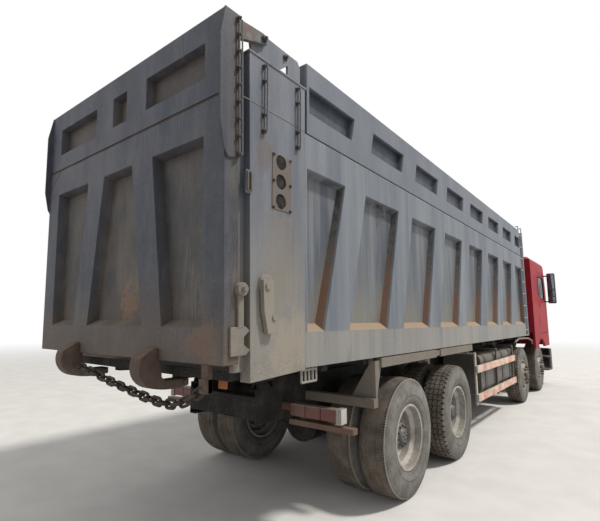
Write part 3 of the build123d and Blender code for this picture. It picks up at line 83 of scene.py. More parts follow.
# %% Values and nodes
def add_node(tree, kind, inputs=None, **settings):
    """A node with its settings, and its inputs filled with numbers, colours or values."""
    made = tree.nodes.new(kind)
    for name, value in settings.items():
        setattr(made, name, value)
    for name, value in (inputs or {}).items():
        if isinstance(value, Value):
            tree.links.new(value.socket, made.inputs[name])
        else:
            made.inputs[name].default_value = value
    return made


def step(tree, kind, inputs=None, out=0, **settings):
    """The value that a new node gives out."""
    return Value(add_node(tree, kind, inputs, **settings).outputs[out])


def outputs(node):
    return {socket.name: Value(socket) for socket in node.outputs}


def screen(red, green, blue):
    """A colour as seen on a screen, turned into the linear colour that a shader takes."""
    shares = [value / 255 for value in (red, green, blue)]
    return (*[s / 12.92 if s <= 0.04045 else ((s + 0.055) / 1.055) ** 2.4 for s in shares], 1.0)


class Value:
    """One output of a node."""

    def __init__(self, socket):
        self.socket = socket
        self.tree = socket.id_data

    def maths(self, operation, second=0.0, clamp=False):
        return step(self.tree, "ShaderNodeMath", {0: self, 1: second}, operation=operation, use_clamp=clamp)

    def __add__(self, other):
        return self.maths("ADD", other)

    def __sub__(self, other):
        return self.maths("SUBTRACT", other)

    def __rsub__(self, other):
        return step(self.tree, "ShaderNodeMath", {0: other, 1: self}, operation="SUBTRACT")

    def __mul__(self, other):
        return self.maths("MULTIPLY", other)

    def __abs__(self):
        return self.maths("ABSOLUTE")

    def larger(self, other):
        return self.maths("MAXIMUM", other)

    def mask(self, start, end, low=0.0, high=1.0):
        """Soft step: `low` where the value is at `start`, `high` where it is at `end`."""
        inputs = {"Value": self, "From Min": start, "From Max": end, "To Min": low, "To Max": high}
        return step(self.tree, "ShaderNodeMapRange", inputs, interpolation_type="SMOOTHSTEP")

    def mix(self, first, second):
        """The first colour where the value is 0, the second where it is 1."""
        colours = [screen(*c) if isinstance(c, tuple) and len(c) == 3 else c for c in (first, second)]
        inputs = {0: self, 6: colours[0], 7: colours[1]}
        return step(self.tree, "ShaderNodeMix", inputs, 2, data_type="RGBA", clamp_result=True)

    def tones(self, first, second):
        """Two colours in soft clouds."""
        return self.mask(0.3, 0.7).mix(first, second)

    def vector(self, operation, other=None, out="Vector"):
        inputs = {0: self} if other is None else {0: self, 1: other}
        return step(self.tree, "ShaderNodeVectorMath", inputs, out, operation=operation)

    def length(self):
        return self.vector("LENGTH", out="Value")

    def parts(self):
        return [Value(socket) for socket in add_node(self.tree, "ShaderNodeSeparateXYZ", {0: self}).outputs]

    def noise(self, scale, detail=3.0, roughness=0.55):
        inputs = {"Vector": self, "Scale": scale, "Detail": detail, "Roughness": roughness}
        return step(self.tree, "ShaderNodeTexNoise", inputs, "Fac")

    def stretched(self, across, along, up):
        """Coordinates whose pattern is drawn out where a scale is small."""
        return step(self.tree, "ShaderNodeMapping", {"Vector": self, "Scale": (across, along, up)})


def new_material(name):
    material = bpy.data.materials.new(name)
    material.use_nodes = True
    material.node_tree.nodes.clear()
    return material, material.node_tree


def close_material(tree, wants):
    """The tree's surface: a Principled shader with its sockets filled."""
    add_node(tree, "ShaderNodeOutputMaterial", {"Surface": step(tree, "ShaderNodeBsdfPrincipled", wants)})


def object_place(tree):
    """The shaded point's place on the truck, in metres."""
    return step(tree, "ShaderNodeTexCoord", out="Object")


print("helpers ready")

# %% [markdown]
# ## Floor and light
# A wide pale floor catches the truck's shadow and fades to white far away, so that no hard line shows behind the
# truck. The world is a soft even light, seen as white by the camera and by shiny things. One large lamp high beyond
# the cab stands for the sun of a bright day: it grazes the right side and leaves the tailgate in soft shade.

# %% Floor
floor_reach = 120.0
fade_start, fade_end = 9.0, 34.0

floor_finish, tree = new_material("pale floor")
spot = object_place(tree)
pale = spot.noise(2.2, 6.0).tones((206, 204, 200), (214, 212, 208))
matt = step(tree, "ShaderNodeBsdfDiffuse", {"Color": pale})
glow = step(tree, "ShaderNodeEmission", {"Color": (1, 1, 1, 1), "Strength": 1.0})
share = spot.length().mask(fade_start, fade_end) * step(tree, "ShaderNodeLightPath", out="Is Camera Ray")
mixed = step(tree, "ShaderNodeMixShader", {0: share, 1: matt, 2: glow})
add_node(tree, "ShaderNodeOutputMaterial", {"Surface": mixed})

floor_mesh = bpy.data.meshes.new("floor")
corners = [(x * floor_reach, y * floor_reach, 0) for x, y in ((-1, -1), (1, -1), (1, 1), (-1, 1))]
floor_mesh.from_pydata(corners, [], [(0, 1, 2, 3)])
floor_mesh.materials.append(floor_finish)
floor = add_object("floor", floor_mesh)
print("floor:", 2 * floor_reach, "m across")

# %% World and lamps
world_strength = 0.58
truck_middle = Vector((0, 0, 1.8))
lamps = [  # name, place, size, watts and tint
    ("sun lamp", (-24.0, -9.0, 41.0), 6.0, 20500.0, (1.0, 0.97, 0.93)),
    ("fill lamp", (3.0, 13.0, 5.0), 7.0, 120.0, (0.93, 0.96, 1.0)),
]

world = bpy.data.worlds.new("studio")
world.use_nodes = True
tree = world.node_tree
tree.nodes.clear()
path = outputs(add_node(tree, "ShaderNodeLightPath"))
seen = path["Is Camera Ray"].maths("ADD", path["Is Glossy Ray"], clamp=True)
seen = seen.maths("ADD", path["Is Transmission Ray"], clamp=True)
strength = seen.mask(0.0, 1.0, world_strength, 1.0)
sky = step(tree, "ShaderNodeBackground", {"Color": (1, 1, 1, 1), "Strength": strength})
add_node(tree, "ShaderNodeOutputWorld", {"Surface": sky})
bpy.context.scene.world = world

for name, place, size, watts, tint in lamps:
    data = bpy.data.lights.new(name, "AREA")
    data.shape = "DISK"
    data.size = size
    data.energy = watts
    data.color = tint
    lamp = add_object(name, data)
    lamp.location = place
    lamp.rotation_euler = (truck_middle - Vector(place)).to_track_quat("-Z", "Y").to_euler()
    print(name + ":", watts, "W")
bpy.context.scene.view_settings.view_transform = "Standard"

# %% [markdown]
# ## Weather, the effect that every finish shares
# A working truck is one story told on many surfaces: sandy dust lies on what faces up, mud splashes the low parts,
# rain draws streaks down the walls, and paint chips at the edges and rusts there. A node group holds this once, and
# each material sets how much of it shows. The Bevel node finds edges by comparing a rounded normal with the true one.

# %% The weather group
def add_inputs(tree, wants):
    """One named input for each of `wants`, of the kind that its value asks for."""
    kinds = {int: "NodeSocketInt", float: "NodeSocketFloat", tuple: "NodeSocketColor"}
    for label, value in wants.items():
        tree.interface.new_socket(label, in_out="INPUT", socket_type=kinds[type(value)]).default_value = value


def weather_group():
    group = bpy.data.node_groups.new("weather", "ShaderNodeTree")
    add_inputs(group, {
        "Paint": screen(110, 120, 135), "Dust": screen(158, 140, 112), "Rust": screen(96, 58, 36), "Dust Film": 0.3,
        "Ledge Dust": 0.8, "Mud Top": 1.6, "Mud": 0.6, "Streaks": 0.3, "Rust Spots": 0.2, "Edge Wear": 0.4,
        "Edge Radius": 0.008, "Roughness": 0.5})
    for name, kind in (("Color", "Color"), ("Roughness", "Float"), ("Height", "Float"), ("Normal", "Vector")):
        group.interface.new_socket(name, in_out="OUTPUT", socket_type="NodeSocket" + kind)

    want = outputs(add_node(group, "NodeGroupInput"))
    place = outputs(add_node(group, "ShaderNodeTexCoord"))
    spot = place["Object"]
    height = spot.parts()[2]
    facing_up = place["Normal"].parts()[2]

    broad = spot.noise(0.9, 4.0)
    cloudy = spot.noise(5.0, 7.0, 0.62)
    grain = spot.noise(60.0, 4.0, 0.6)
    specks = spot.noise(170.0, 1.0)
    runs = spot.stretched(11.0, 11.0, 0.55).noise(1.0, 5.0, 0.6)
    fine_runs = spot.stretched(42.0, 42.0, 1.3).noise(1.0, 3.0)

    # Dust: a thin film in clouds, thick on ledges, and splashed up to the mud's top
    film = cloudy.mask(0.28, 0.78) * want["Dust Film"]
    ledge = facing_up.mask(0.2, 0.75) * want["Ledge Dust"] * grain.mask(0.25, 0.6, 0.6, 1.0)
    low = want["Mud Top"] + broad.mask(0.2, 0.8, -0.45, 0.45) - height
    splash = low.mask(-0.25, 0.75) * cloudy.mask(0.3, 0.65, 0.35, 1.0) * want["Mud"]
    streak = runs.mask(0.5, 0.78) * want["Streaks"]
    thin = film.larger(splash.larger(streak))
    dust = thin.larger(ledge)

    # Edges, where the rounded normal leaves the true one
    rounded = step(group, "ShaderNodeBevel", {"Radius": want["Edge Radius"]}, samples=4)
    true_normal = step(group, "ShaderNodeNewGeometry", out="Normal")
    edge = rounded.vector("DOT_PRODUCT", true_normal, "Value").mask(0.985, 0.86)
    chipped = edge * spot.noise(26.0, 5.0, 0.7).mask(0.42, 0.62) * want["Edge Wear"]
    rust = (spot.noise(15.0, 8.0, 0.7).mask(0.6, 0.7) * want["Rust Spots"]).larger(chipped)

    # Colour: paint in slightly uneven tone, dark runs, rust, then dust and pale specks over all
    tone = broad.mask(0.25, 0.75).mix((0.84, 0.84, 0.86, 1), (1.0, 1.0, 1.0, 1))
    paint = step(group, "ShaderNodeMix", {0: 1.0, 6: want["Paint"], 7: tone}, 2, data_type="RGBA",
                 blend_type="MULTIPLY", clamp_result=True)
    paint = (fine_runs.mask(0.52, 0.72) * want["Streaks"] * 0.55).mix(paint, (58, 60, 68))
    paint = rust.mix(paint, grain.mix(want["Rust"], (62, 44, 34)))
    paint = (thin * 0.8).mix(paint, cloudy.tones(want["Dust"], (132, 126, 118)))
    ledge_tone = cloudy.mask(0.35, 0.65, 0.0, 0.45).mix(want["Dust"], (140, 124, 104))
    paint = (ledge * 0.95).mix(paint, ledge_tone)
    pale = specks.mask(0.66, 0.72) * low.mask(-1.4, 0.5, 0.12, 0.8) * want["Mud"]
    paint = pale.mix(paint, (196, 190, 180))

    rough = want["Roughness"] + dust.larger(rust) * 0.4
    rough = rough.maths("ADD", grain.mask(0.3, 0.7, -0.06, 0.06), clamp=True)
    bumps = grain * 0.35 + dust * 0.5 - rust * 0.35
    add_node(group, "NodeGroupOutput", {0: paint, 1: rough, 2: bumps, 3: rounded})
    return group


weather = weather_group()
print("weather group:", len(weather.nodes), "nodes")

# %% [markdown]
# ## Painted and bare steel
# Nearly every panel is painted steel in some state of wear, so one function makes them all: it places the weather
# group, feeds its colour, roughness and bumps to a Principled shader, and keeps gloss and metal as plain values.
# Where the paint itself changes over a piece, a small function draws it, and the weather goes on top.

# %% Weathered materials
wear_columns = ("Dust Film", "Ledge Dust", "Mud Top", "Mud", "Streaks", "Rust Spots", "Edge Wear", "Roughness")


def weathered(name, paint, dust, wear, metallic=0.0, coat=0.0, gloss=0.4):
    """Weathered steel or plastic. `paint` is a screen colour or draws the paint, and `wear` fills wear_columns."""
    material, tree = new_material(name)
    dressed = add_node(tree, "ShaderNodeGroup", dict(zip(wear_columns, wear), Dust=screen(*dust)), node_tree=weather)
    if callable(paint):
        tree.links.new(paint(tree).socket, dressed.inputs["Paint"])
    else:
        dressed.inputs["Paint"].default_value = screen(*paint)
    made = outputs(dressed)
    raised = step(tree, "ShaderNodeBump", {
        "Height": made["Height"], "Distance": 0.002, "Strength": 1.0, "Normal": made["Normal"]})
    close_material(tree, {"Base Color": made["Color"], "Roughness": made["Roughness"], "Metallic": metallic,
                          "Normal": raised, "Coat Weight": coat, "Specular IOR Level": gloss})
    return material


def here(tree):
    """The shaded point's place, whole and as three numbers."""
    spot = object_place(tree)
    return spot, *spot.parts()


def stain(spot, centre, reach, ragged=0.5, scale=6.0):
    """Soft patch around `centre` that ends at about `reach` each way, with a ragged edge."""
    far = spot.vector("SUBTRACT", centre).vector("MULTIPLY", [1 / r for r in reach]).length()
    edge = spot.noise(scale, 6.0, 0.65).mask(0.25, 0.75, -ragged, ragged)
    return (far + edge).mask(1.15, 0.55)


def in_box(spot, centre, half):
    """1 inside a box around `centre`, 0 outside it."""
    away = spot.vector("SUBTRACT", centre).vector("ABSOLUTE").vector("MULTIPLY", [1 / h for h in half])
    across, along, up = away.parts()
    return across.larger(along).larger(up).mask(1.01, 0.99)


print("wear is set by", len(wear_columns), "numbers")

# %% [markdown]
# ## The body's paint
# The load body was one blue grey, and its places now differ. The side's bay panels carry bright vertical streaks of
# painted reflection, the ribs' flanks hold painted shade and rust, and the rear posts are sandy in their lower half.
# The tailgate is browner, deepest in its bays, with one patch rubbed to bare rust.

# %% Side and board paint
wall_x, bay_x = 1.186, 1.16
sill_top = 1.551


def side_paint(tree):
    spot, x, y, z = here(tree)
    in_bay = abs(x).mask(wall_x, bay_x)
    wide = spot.stretched(5.0, 5.0, 0.25).noise(1.0, 4.0, 0.6)
    fine = spot.stretched(24.0, 24.0, 0.7).noise(1.0, 4.0, 0.6)
    paint = wide.tones((89, 99, 110), (120, 126, 133))
    # Bay panels: dark paint with bright vertical streaks of painted reflection, and sand lower down.
    panel = wide.mask(0.42, 0.62).mix((72, 80, 89), (112, 117, 121))
    panel = fine.mask(0.5, 0.7, 0.0, 0.6).mix(panel, (84, 90, 98))
    low_sand = (z + wide.mask(0.3, 0.7, -0.3, 0.3)).mask(2.05, 1.6, 0.0, 0.55)
    panel = low_sand.mix(panel, (132, 124, 108))
    facing_along = step(tree, "ShaderNodeTexCoord", out="Normal").parts()[1]
    flank = abs(facing_along).mask(0.4, 0.7) * in_bay
    mottled = spot.noise(16.0, 7.0, 0.75)
    rusty_low = (z + mottled.mask(0.3, 0.7, -0.35, 0.35)).mask(2.2, 2.02)
    # Flanks: dark grey painted shade, with rust in their lower part.
    flank_shade_and_rust = mottled.mask(0.4, 0.6).mix((52, 54, 56), (84, 86, 86))
    flank_shade_and_rust = rusty_low.mix(flank_shade_and_rust, (104, 72, 54))
    paint = flank.mix(in_bay.mix(paint, panel), flank_shade_and_rust)
    rail = z.mask(sill_top + 0.01, sill_top - 0.01)
    paint = (wide.mask(0.2, 0.7, 0.45, 0.9) * rail).mix(paint, (142, 139, 132))
    drips = spot.stretched(7.0, 7.0, 1.4).noise(1.0, 6.0, 0.7)
    return (drips.mask(0.56, 0.66, 0.0, 0.55) * rail).mix(paint, (92, 92, 94))


def board_paint(tree):
    spot, x, y, z = here(tree)
    wide = spot.stretched(4.0, 4.0, 1.2).noise(1.0, 4.0, 0.6)
    sheet = wide.mask(0.35, 0.65).mix((46, 55, 68), (66, 73, 86))
    return abs(x).mask(wall_x, bay_x).mix(wide.tones((97, 104, 113), (109, 115, 124)), sheet)


print("side paint changes at", sill_top, "m")

# %% Post and fitting paint
post_face = -1.19
plate_half, lever_half = (0.02, 0.0985, 0.192), (0.1, 0.2, 0.26)
hinge_arm_bottom = 3.2


def post_paint(tree):
    spot, x, y, z = here(tree)
    wide = spot.stretched(5.0, 5.0, 0.8).noise(1.0, 5.0, 0.6)
    fine = spot.stretched(30.0, 30.0, 2.0).noise(1.0, 5.0, 0.65)
    paint = wide.tones((82, 89, 102), (113, 118, 127))
    height = z + wide.mask(0.25, 0.75, -0.35, 0.35)
    paint = height.mask(2.5, 1.55, 0.0, 0.75).mix(paint, (137, 133, 124))
    paint = (fine.mask(0.5, 0.72, 0.0, 0.45) * z.mask(2.7, 2.3)).mix(paint, (96, 94, 90))
    under_rod = stain(spot, (post_face, 5.36, 2.72), (0.1, 0.09, 0.17), 0.35, 12.0)
    paint = (under_rod * 0.6).mix(paint, (92, 80, 74))
    under_plate = stain(spot, (post_face, 5.22, 2.1), (0.1, 0.14, 0.34), 0.6, 7.0)
    paint = (under_plate * 0.4).mix(paint, (126, 118, 104))
    low_patch = stain(spot, (post_face, 5.1, 1.46), (0.1, 0.24, 0.24), 0.6, 5.0)
    paint = (low_patch * 0.5).mix(paint, (152, 143, 126))
    paint = in_box(spot, (post_face, 5.188, 2.5485), plate_half).mix(paint, (98, 90, 82))
    lever = in_box(spot, (post_face, 5.33, 1.70), lever_half) * x.mask(-1.1905, -1.1935)
    paint = lever.mix(paint, (136, 130, 119))
    mud_spots = spot.noise(120.0, 2.0, 0.8).mask(0.56, 0.62) * z.mask(1.56, 1.32)
    return mud_spots.mix(paint, (92, 86, 80))


def fitting_paint(tree):
    spot, x, y, z = here(tree)
    worn = spot.noise(9.0, 6.0, 0.65)
    brown = worn.tones((78, 62, 56), (98, 80, 72))
    arm = (y + worn).mask(5.96, 5.9).mix(brown, (96, 101, 108))
    sandy = worn.tones((108, 104, 97), (126, 120, 110))
    return z.mask(hinge_arm_bottom - 0.01, hinge_arm_bottom).mix(sandy, arm)


print("arm paint starts at", hinge_arm_bottom, "m")

# %% Gate paint
gate_foot, gate_face, gate_slope = 1.382, 5.674, 0.02618


def gate_paint(tree):
    spot, x, y, z = here(tree)
    depth = (z - gate_foot) * gate_slope + gate_face - y
    in_bay = depth.mask(0.012, 0.07)
    wide = spot.stretched(4.0, 4.0, 1.2).noise(1.0, 5.0, 0.6)
    fine = spot.stretched(60.0, 60.0, 3.0).noise(1.0, 4.0, 0.7)
    paint = in_bay.mix(wide.tones((48, 54, 68), (80, 82, 90)), wide.tones((50, 52, 57), (93, 86, 79)))
    scratch = fine.mask(0.5, 0.6, 0.0, 0.9) * wide.mask(0.35, 0.55) * x.mask(-0.1, -0.6, 0.25, 1.0)
    paint = scratch.mix(paint, (50, 55, 66))
    edge_blue = x.mask(-0.98, -1.06) * depth.mask(0.02, 0.0)
    paint = (edge_blue * 0.9).mix(paint, (44, 51, 61))
    height = z + wide.mask(0.25, 0.75, -0.15, 0.15)
    paint = height.mask(1.95, 1.42, 0.0, 0.8).mix(paint, (86, 74, 63))
    # The top of each bay is darker: painted shade under the gate's top rail.
    paint = (height.mask(2.52, 2.78) * in_bay * 0.6).mix(paint, (62, 54, 52))
    corner_rust = stain(spot, (-1.02, 5.68, 1.5), (0.16, 0.1, 0.14), 0.7, 9.0)
    paint = (corner_rust * 0.45).mix(paint, (112, 84, 66))
    halo = stain(spot, (-0.085, 5.59, 1.76), (0.15, 0.08, 0.18), 0.55, 14.0)
    paint = (halo * 0.55).mix(paint, (72, 66, 66))
    bare = stain(spot, (-0.075, 5.59, 1.75), (0.11, 0.09, 0.16), 0.75, 15.0)
    return (bare * 0.85).mix(paint, (114, 88, 64))


print("gate leans back", gate_slope, "m a metre")

# %% [markdown]
# ## Wheels, tank, lamps and guard
# A rear wheel's rim is silver paint that dulls towards its dish, around a dark grey hub. The fuel tank is dull metal
# under four dark straps, the tail lamp's ribbed ends have bleached nearly white, and the guard's red rails have
# flaked to a pale pink.

# %% Small drawn paints
wheel_height = 0.5425
hub_edge = 0.15
tank_front, strap_pitch, strap_half = -1.74, 0.545, 0.056


def rim_paint(axle_y):
    def drawn(tree):
        spot = object_place(tree)
        radius = spot.vector("SUBTRACT", (0, axle_y, wheel_height)).vector("MULTIPLY", (0, 1, 1)).length()
        worn = spot.noise(9.0, 6.0, 0.65)
        silver = worn.mask(0.35, 0.7).mix((182, 180, 174), (142, 136, 126))
        hub = worn.tones((78, 81, 86), (104, 104, 102))
        paint = radius.mask(hub_edge + 0.002, hub_edge - 0.004).mix(silver, hub)
        stained = radius.mask(0.225, 0.18) * radius.mask(0.14, 0.155)
        return (stained * 0.7).mix(paint, (138, 116, 92))
    return drawn


def tank_paint(tree):
    spot, x, y, z = here(tree)
    share = abs((y - tank_front).maths("MODULO", strap_pitch) - strap_pitch / 2)
    silver = spot.noise(6.0, 6.0, 0.6).tones((74, 73, 69), (96, 93, 88))
    silver = (share.mask(0.19, 0.2) * 0.5).mix(silver, (96, 94, 90))
    return share.mask(strap_half + 0.002, strap_half).mix(silver, (56, 54, 52))


def lamp_paint(tree):
    spot, x, y, z = here(tree)
    lamp = spot.noise(18.0, 6.0, 0.65).tones((116, 52, 44), (92, 56, 50))
    lamp = z.mask(0.915, 0.924).mix(lamp, (150, 138, 124))
    lamp = abs(x).mask(1.058, 1.062).mix(lamp, (188, 184, 176))
    return z.mask(0.812, 0.805).mix(lamp, (92, 66, 50))


def guard_paint(tree):
    spot, x, y, z = here(tree)
    flakes = spot.stretched(9.0, 5.0, 12.0).noise(1.0, 7.0, 0.7)
    paint = flakes.mask(0.42, 0.6).mix((206, 138, 116), (226, 202, 182))
    band = (y + 3.0).maths("MODULO", 0.42)
    paint = (band.mask(0.2, 0.22) * 0.5).mix(paint, (226, 206, 190))
    paint = y.mask(0.745, 0.75).mix(paint, (186, 178, 164))
    return (abs(x).mask(1.155, 1.145) * y.mask(0.74, 0.73)).mix(paint, (70, 62, 56))


print("small paints ready")

# %% Finishes
no_mud = -9.0
finish_table = [  # finish, material, paint, dust, its wear_columns, and the shader's own values where they differ
    ("side", "blue grey side paint", side_paint, (152, 128, 102), (0.12, 1.0, 1.3, 0.45, 0.22, 0.1, 0.4, 0.5)),
    ("board", "extension board paint", board_paint, (136, 136, 136), (0.12, 0.4, 1.3, 0.3, 0.2, 0.08, 0.4, 0.5)),
    ("post", "dusty post paint", post_paint, (160, 148, 126), (0.18, 0.9, 1.75, 0.5, 0.25, 0.1, 0.5, 0.55)),
    ("fitting", "dusty fitting", fitting_paint, (140, 128, 112), (0.35, 0.9, 1.75, 0.4, 0.2, 0.35, 0.6, 0.65)),
    ("galvanised", "pale ladder steel", (168, 172, 178), (160, 156, 148), (0.3, 0.6, 1.3, 0.4, 0.2, 0.2, 0.5, 0.55)),
    ("gate", "brown grey gate paint", gate_paint, (98, 92, 88), (0.22, 0.8, 1.6, 0.25, 0.3, 0.22, 0.7, 0.6)),
    ("rusty", "rusty bare steel", (76, 58, 50), (112, 90, 72), (0.4, 0.6, 1.2, 0.3, 0.3, 0.7, 0.6, 0.75)),
    ("chain", "dark chain steel", (44, 36, 32), (90, 76, 64), (0.25, 0.35, no_mud, 0.0, 0.0, 0.7, 0.3, 0.6),
     {"metallic": 0.3}),
    ("rope", "dusty rope", (104, 100, 92), (126, 118, 104), (0.4, 0.5, no_mud, 0.0, 0.0, 0.0, 0.0, 0.9)),
    ("orange", "faded orange", (168, 92, 40), (120, 92, 70), (0.5, 0.5, no_mud, 0.0, 0.3, 0.3, 0.4, 0.6)),
    ("pale", "bleached plastic", (150, 148, 142), (132, 124, 112), (0.3, 0.5, no_mud, 0.0, 0.1, 0.0, 0.2, 0.6)),
    ("bolt", "dirty bolt steel", (58, 56, 56), (120, 108, 92), (0.3, 0.4, no_mud, 0.0, 0.0, 0.5, 0.3, 0.55),
     {"metallic": 0.4}),
    ("rod", "tarp rod steel", (98, 102, 108), (140, 130, 114), (0.3, 0.4, no_mud, 0.0, 0.0, 0.3, 0.4, 0.5),
     {"metallic": 0.2}),
    ("frame", "dirty black frame", (9, 9, 9), (30, 26, 22), (0.2, 0.6, 1.0, 0.35, 0.2, 0.35, 0.4, 0.75)),
    ("skirt", "dusty skirt", (112, 106, 96), (134, 122, 106), (0.6, 1.0, 1.25, 0.7, 0.2, 0.2, 0.6, 0.7)),
    ("red", "cab red paint", (152, 18, 38), (150, 92, 90), (0.1, 0.4, 1.15, 0.5, 0.12, 0.03, 0.2, 0.5),
     {"gloss": 0.15}),
    ("plastic", "black plastic", (30, 30, 33), (112, 104, 96), (0.2, 0.4, 1.0, 0.4, 0.1, 0.0, 0.1, 0.5)),
    ("pink", "faded red rail", guard_paint, (204, 186, 166), (0.4, 0.9, 0.7, 0.5, 0.15, 0.2, 0.6, 0.7)),
    ("silver", "dull aluminium", tank_paint, (112, 106, 96), (0.35, 0.8, 0.8, 0.5, 0.2, 0.05, 0.1, 0.45),
     {"metallic": 0.3}),
    ("chrome", "hoist rod steel", (190, 190, 192), (110, 100, 88), (0.25, 0.4, no_mud, 0.0, 0.2, 0.05, 0.1, 0.25),
     {"metallic": 1.0}),
    ("lamp", "dull lamp", lamp_paint, (120, 96, 80), (0.35, 0.7, 1.0, 0.3, 0.2, 0.1, 0.3, 0.45), {"coat": 0.2}),
    ("fabric", "cab trim", (66, 66, 70), (120, 112, 100), (0.2, 0.2, no_mud, 0.0, 0.0, 0.0, 0.0, 0.9)),
]
axle_places = {"1": -4.32, "2": -2.46, "3": 1.93, "4": 3.35}
for number, axle_y in axle_places.items():
    finish_table.append(("rim " + number, "wheel paint " + number, rim_paint(axle_y), (160, 144, 122),
                         (0.25, 0.2, no_mud, 0.0, 0.0, 0.15, 0.3, 0.45), {"metallic": 0.15}))

finishes = {}
for finish, name, paint, dust, wear, *shine in finish_table:
    finishes[finish] = weathered(name, paint, dust, wear, **(shine[0] if shine else {}))
print("finishes:", len(finishes))

# %% Glass, mirror and lamp mesh
finishes["glass"], tree = new_material("tinted glass")
film = object_place(tree).noise(3.0, 6.0).mask(0.35, 0.8, 0.0, 0.5)
close_material(tree, {"Base Color": film.mix((26, 32, 38), (96, 92, 86)), "Roughness": film.mask(0.0, 0.5, 0.2, 0.45),
                      "Specular IOR Level": 0.35})

finishes["mirror"], tree = new_material("mirror glass")
film = object_place(tree).noise(14.0, 6.0, 0.6).mask(0.4, 0.8)
close_material(tree, {"Base Color": film.mix((120, 128, 136), (104, 104, 104)),
                      "Roughness": film.mask(0.0, 1.0, 0.03, 0.3), "Metallic": 1.0})

# A nearly black disc with a close grid of small holes
finishes["lamp mesh"], tree = new_material("lamp mesh")
spot = object_place(tree)
cells = step(tree, "ShaderNodeTexVoronoi", {"Vector": spot, "Scale": 130.0, "Randomness": 0.1}, "Distance")
hole = cells.mask(0.25, 0.4)
tint = spot.noise(25.0, 5.0).mask(0.35, 0.7).mix((30, 30, 32), (62, 58, 54))
raised = step(tree, "ShaderNodeBump", {"Height": hole, "Distance": 0.002, "Strength": 0.8})
close_material(tree, {"Base Color": (1.0 - hole).mix(tint, (12, 12, 13)), "Roughness": 0.8,
                      "Specular IOR Level": 0.15, "Normal": raised})

# A clear front lamp lens with fine upright flutes
finishes["lens"], tree = new_material("lamp lens")
spot, x, y, z = here(tree)
flutes = (x * 520.0).maths("SINE")
grime = spot.noise(8.0, 5.0).mask(0.35, 0.75)
raised = step(tree, "ShaderNodeBump", {"Height": flutes, "Distance": 0.001, "Strength": 0.6})
close_material(tree, {"Base Color": grime.mix((206, 210, 214), (160, 154, 144)),
                      "Roughness": grime.mask(0.0, 1.0, 0.1, 0.35), "Coat Weight": 1.0, "Metallic": 0.35,
                      "Normal": raised})
print("finishes with glass and lamps:", len(finishes))

# %% [markdown]
# ## Growing shapes with Geometry Nodes
# Bolts, bars, chain links and tyre lugs are one small shape many times over, so each kind is a Geometry Nodes tree:
# the sizes are named inputs, the places are the points of a small mesh, and the result is kept as a plain mesh. The
# helpers below make such a tree, close it with real instances and a material, and run it.

# %% Geometry Nodes helpers
def shape_tree(name, wants):
    """A tree with a geometry in and out, a material, and one named input for each of `wants`."""
    tree = bpy.data.node_groups.new(name, "GeometryNodeTree")
    tree.interface.new_socket("Geometry", in_out="INPUT", socket_type="NodeSocketGeometry")
    add_inputs(tree, wants)
    tree.interface.new_socket("Material", in_out="INPUT", socket_type="NodeSocketMaterial")
    tree.interface.new_socket("Geometry", in_out="OUTPUT", socket_type="NodeSocketGeometry")
    return tree, outputs(add_node(tree, "NodeGroupInput"))


def close_tree(tree, want, geometry):
    real = step(tree, "GeometryNodeRealizeInstances", {"Geometry": geometry})
    painted = step(tree, "GeometryNodeSetMaterial", {"Geometry": real, "Material": want["Material"]})
    add_node(tree, "NodeGroupOutput", {0: painted})
    return tree


def copies_on(tree, points, shape, **wants):
    return step(tree, "GeometryNodeInstanceOnPoints", {"Points": points, "Instance": shape, **wants})


def named(tree, name, kind="FLOAT"):
    return step(tree, "GeometryNodeInputNamedAttribute", {"Name": name}, data_type=kind)


def turn_about(tree, **angles):
    return step(tree, "ShaderNodeCombineXYZ", angles)


def shade(mesh, sharp_angle):
    mesh.polygons.foreach_set("use_smooth", [True] * len(mesh.polygons))
    mesh.set_sharp_from_angle(angle=radians(sharp_angle))
    return mesh


def grown(base, tree, finish, sharp_angle, **values):
    """Run a tree on a mesh, with `values` for its inputs by name, and keep the result as a plain mesh."""
    source = add_object("source", base)
    modifier = source.modifiers.new("shape", "NODES")
    modifier.node_group = tree
    values = {key.replace("_", " ").title(): value for key, value in values.items()}
    values["Material"] = finishes[finish]
    for item in tree.interface.items_tree:
        if item.item_type == "SOCKET" and item.in_out == "INPUT" and item.name in values:
            modifier[item.identifier] = values[item.name]
    evaluated = source.evaluated_get(bpy.context.evaluated_depsgraph_get())
    mesh = bpy.data.meshes.new_from_object(evaluated)
    bpy.data.objects.remove(source)
    bpy.data.meshes.remove(base)
    return shade(mesh, sharp_angle)


def points_mesh(places, edges=(), **attributes):
    """A mesh of loose points or lines, with one number or vector a point under each attribute's name."""
    mesh = bpy.data.meshes.new("points")
    mesh.from_pydata([tuple(place) for place in places], list(edges), [])
    for name, values in attributes.items():
        if isinstance(values[0], float):
            mesh.attributes.new(name, "FLOAT", "POINT").data.foreach_set("value", values)
        else:
            flat = [number for value in values for number in value]
            mesh.attributes.new(name, "FLOAT_VECTOR", "POINT").data.foreach_set("vector", flat)
    return mesh


print("shape helpers ready")

# %% [markdown]
# ## Keeping and placing meshes
# Many fittings are flat plates with eased edges, like real cut steel. One helper draws a plate's outline, pushes it
# along X to its thickness, and bevels its edges so that they catch light. The others keep a mesh, join meshes, and
# put one on the body that carries it.

# %% Mesh helpers
def kept(solid, finish, sharp_angle):
    """A bmesh as a plain mesh in one finish."""
    mesh = bpy.data.meshes.new("kept")
    solid.to_mesh(mesh)
    solid.free()
    mesh.materials.append(finishes[finish])
    return shade(mesh, sharp_angle)


def merged(*meshes):
    """One mesh from several, each with its own material."""
    whole = bmesh.new()
    materials = []
    for mesh in meshes:
        start = len(whole.faces)
        whole.from_mesh(mesh)
        whole.faces.ensure_lookup_table()
        for face in whole.faces[start:]:
            face.material_index += len(materials)
        materials += list(mesh.materials)
    result = bpy.data.meshes.new("merged")
    whole.to_mesh(result)
    whole.free()
    for material in materials:
        result.materials.append(material)
    return result


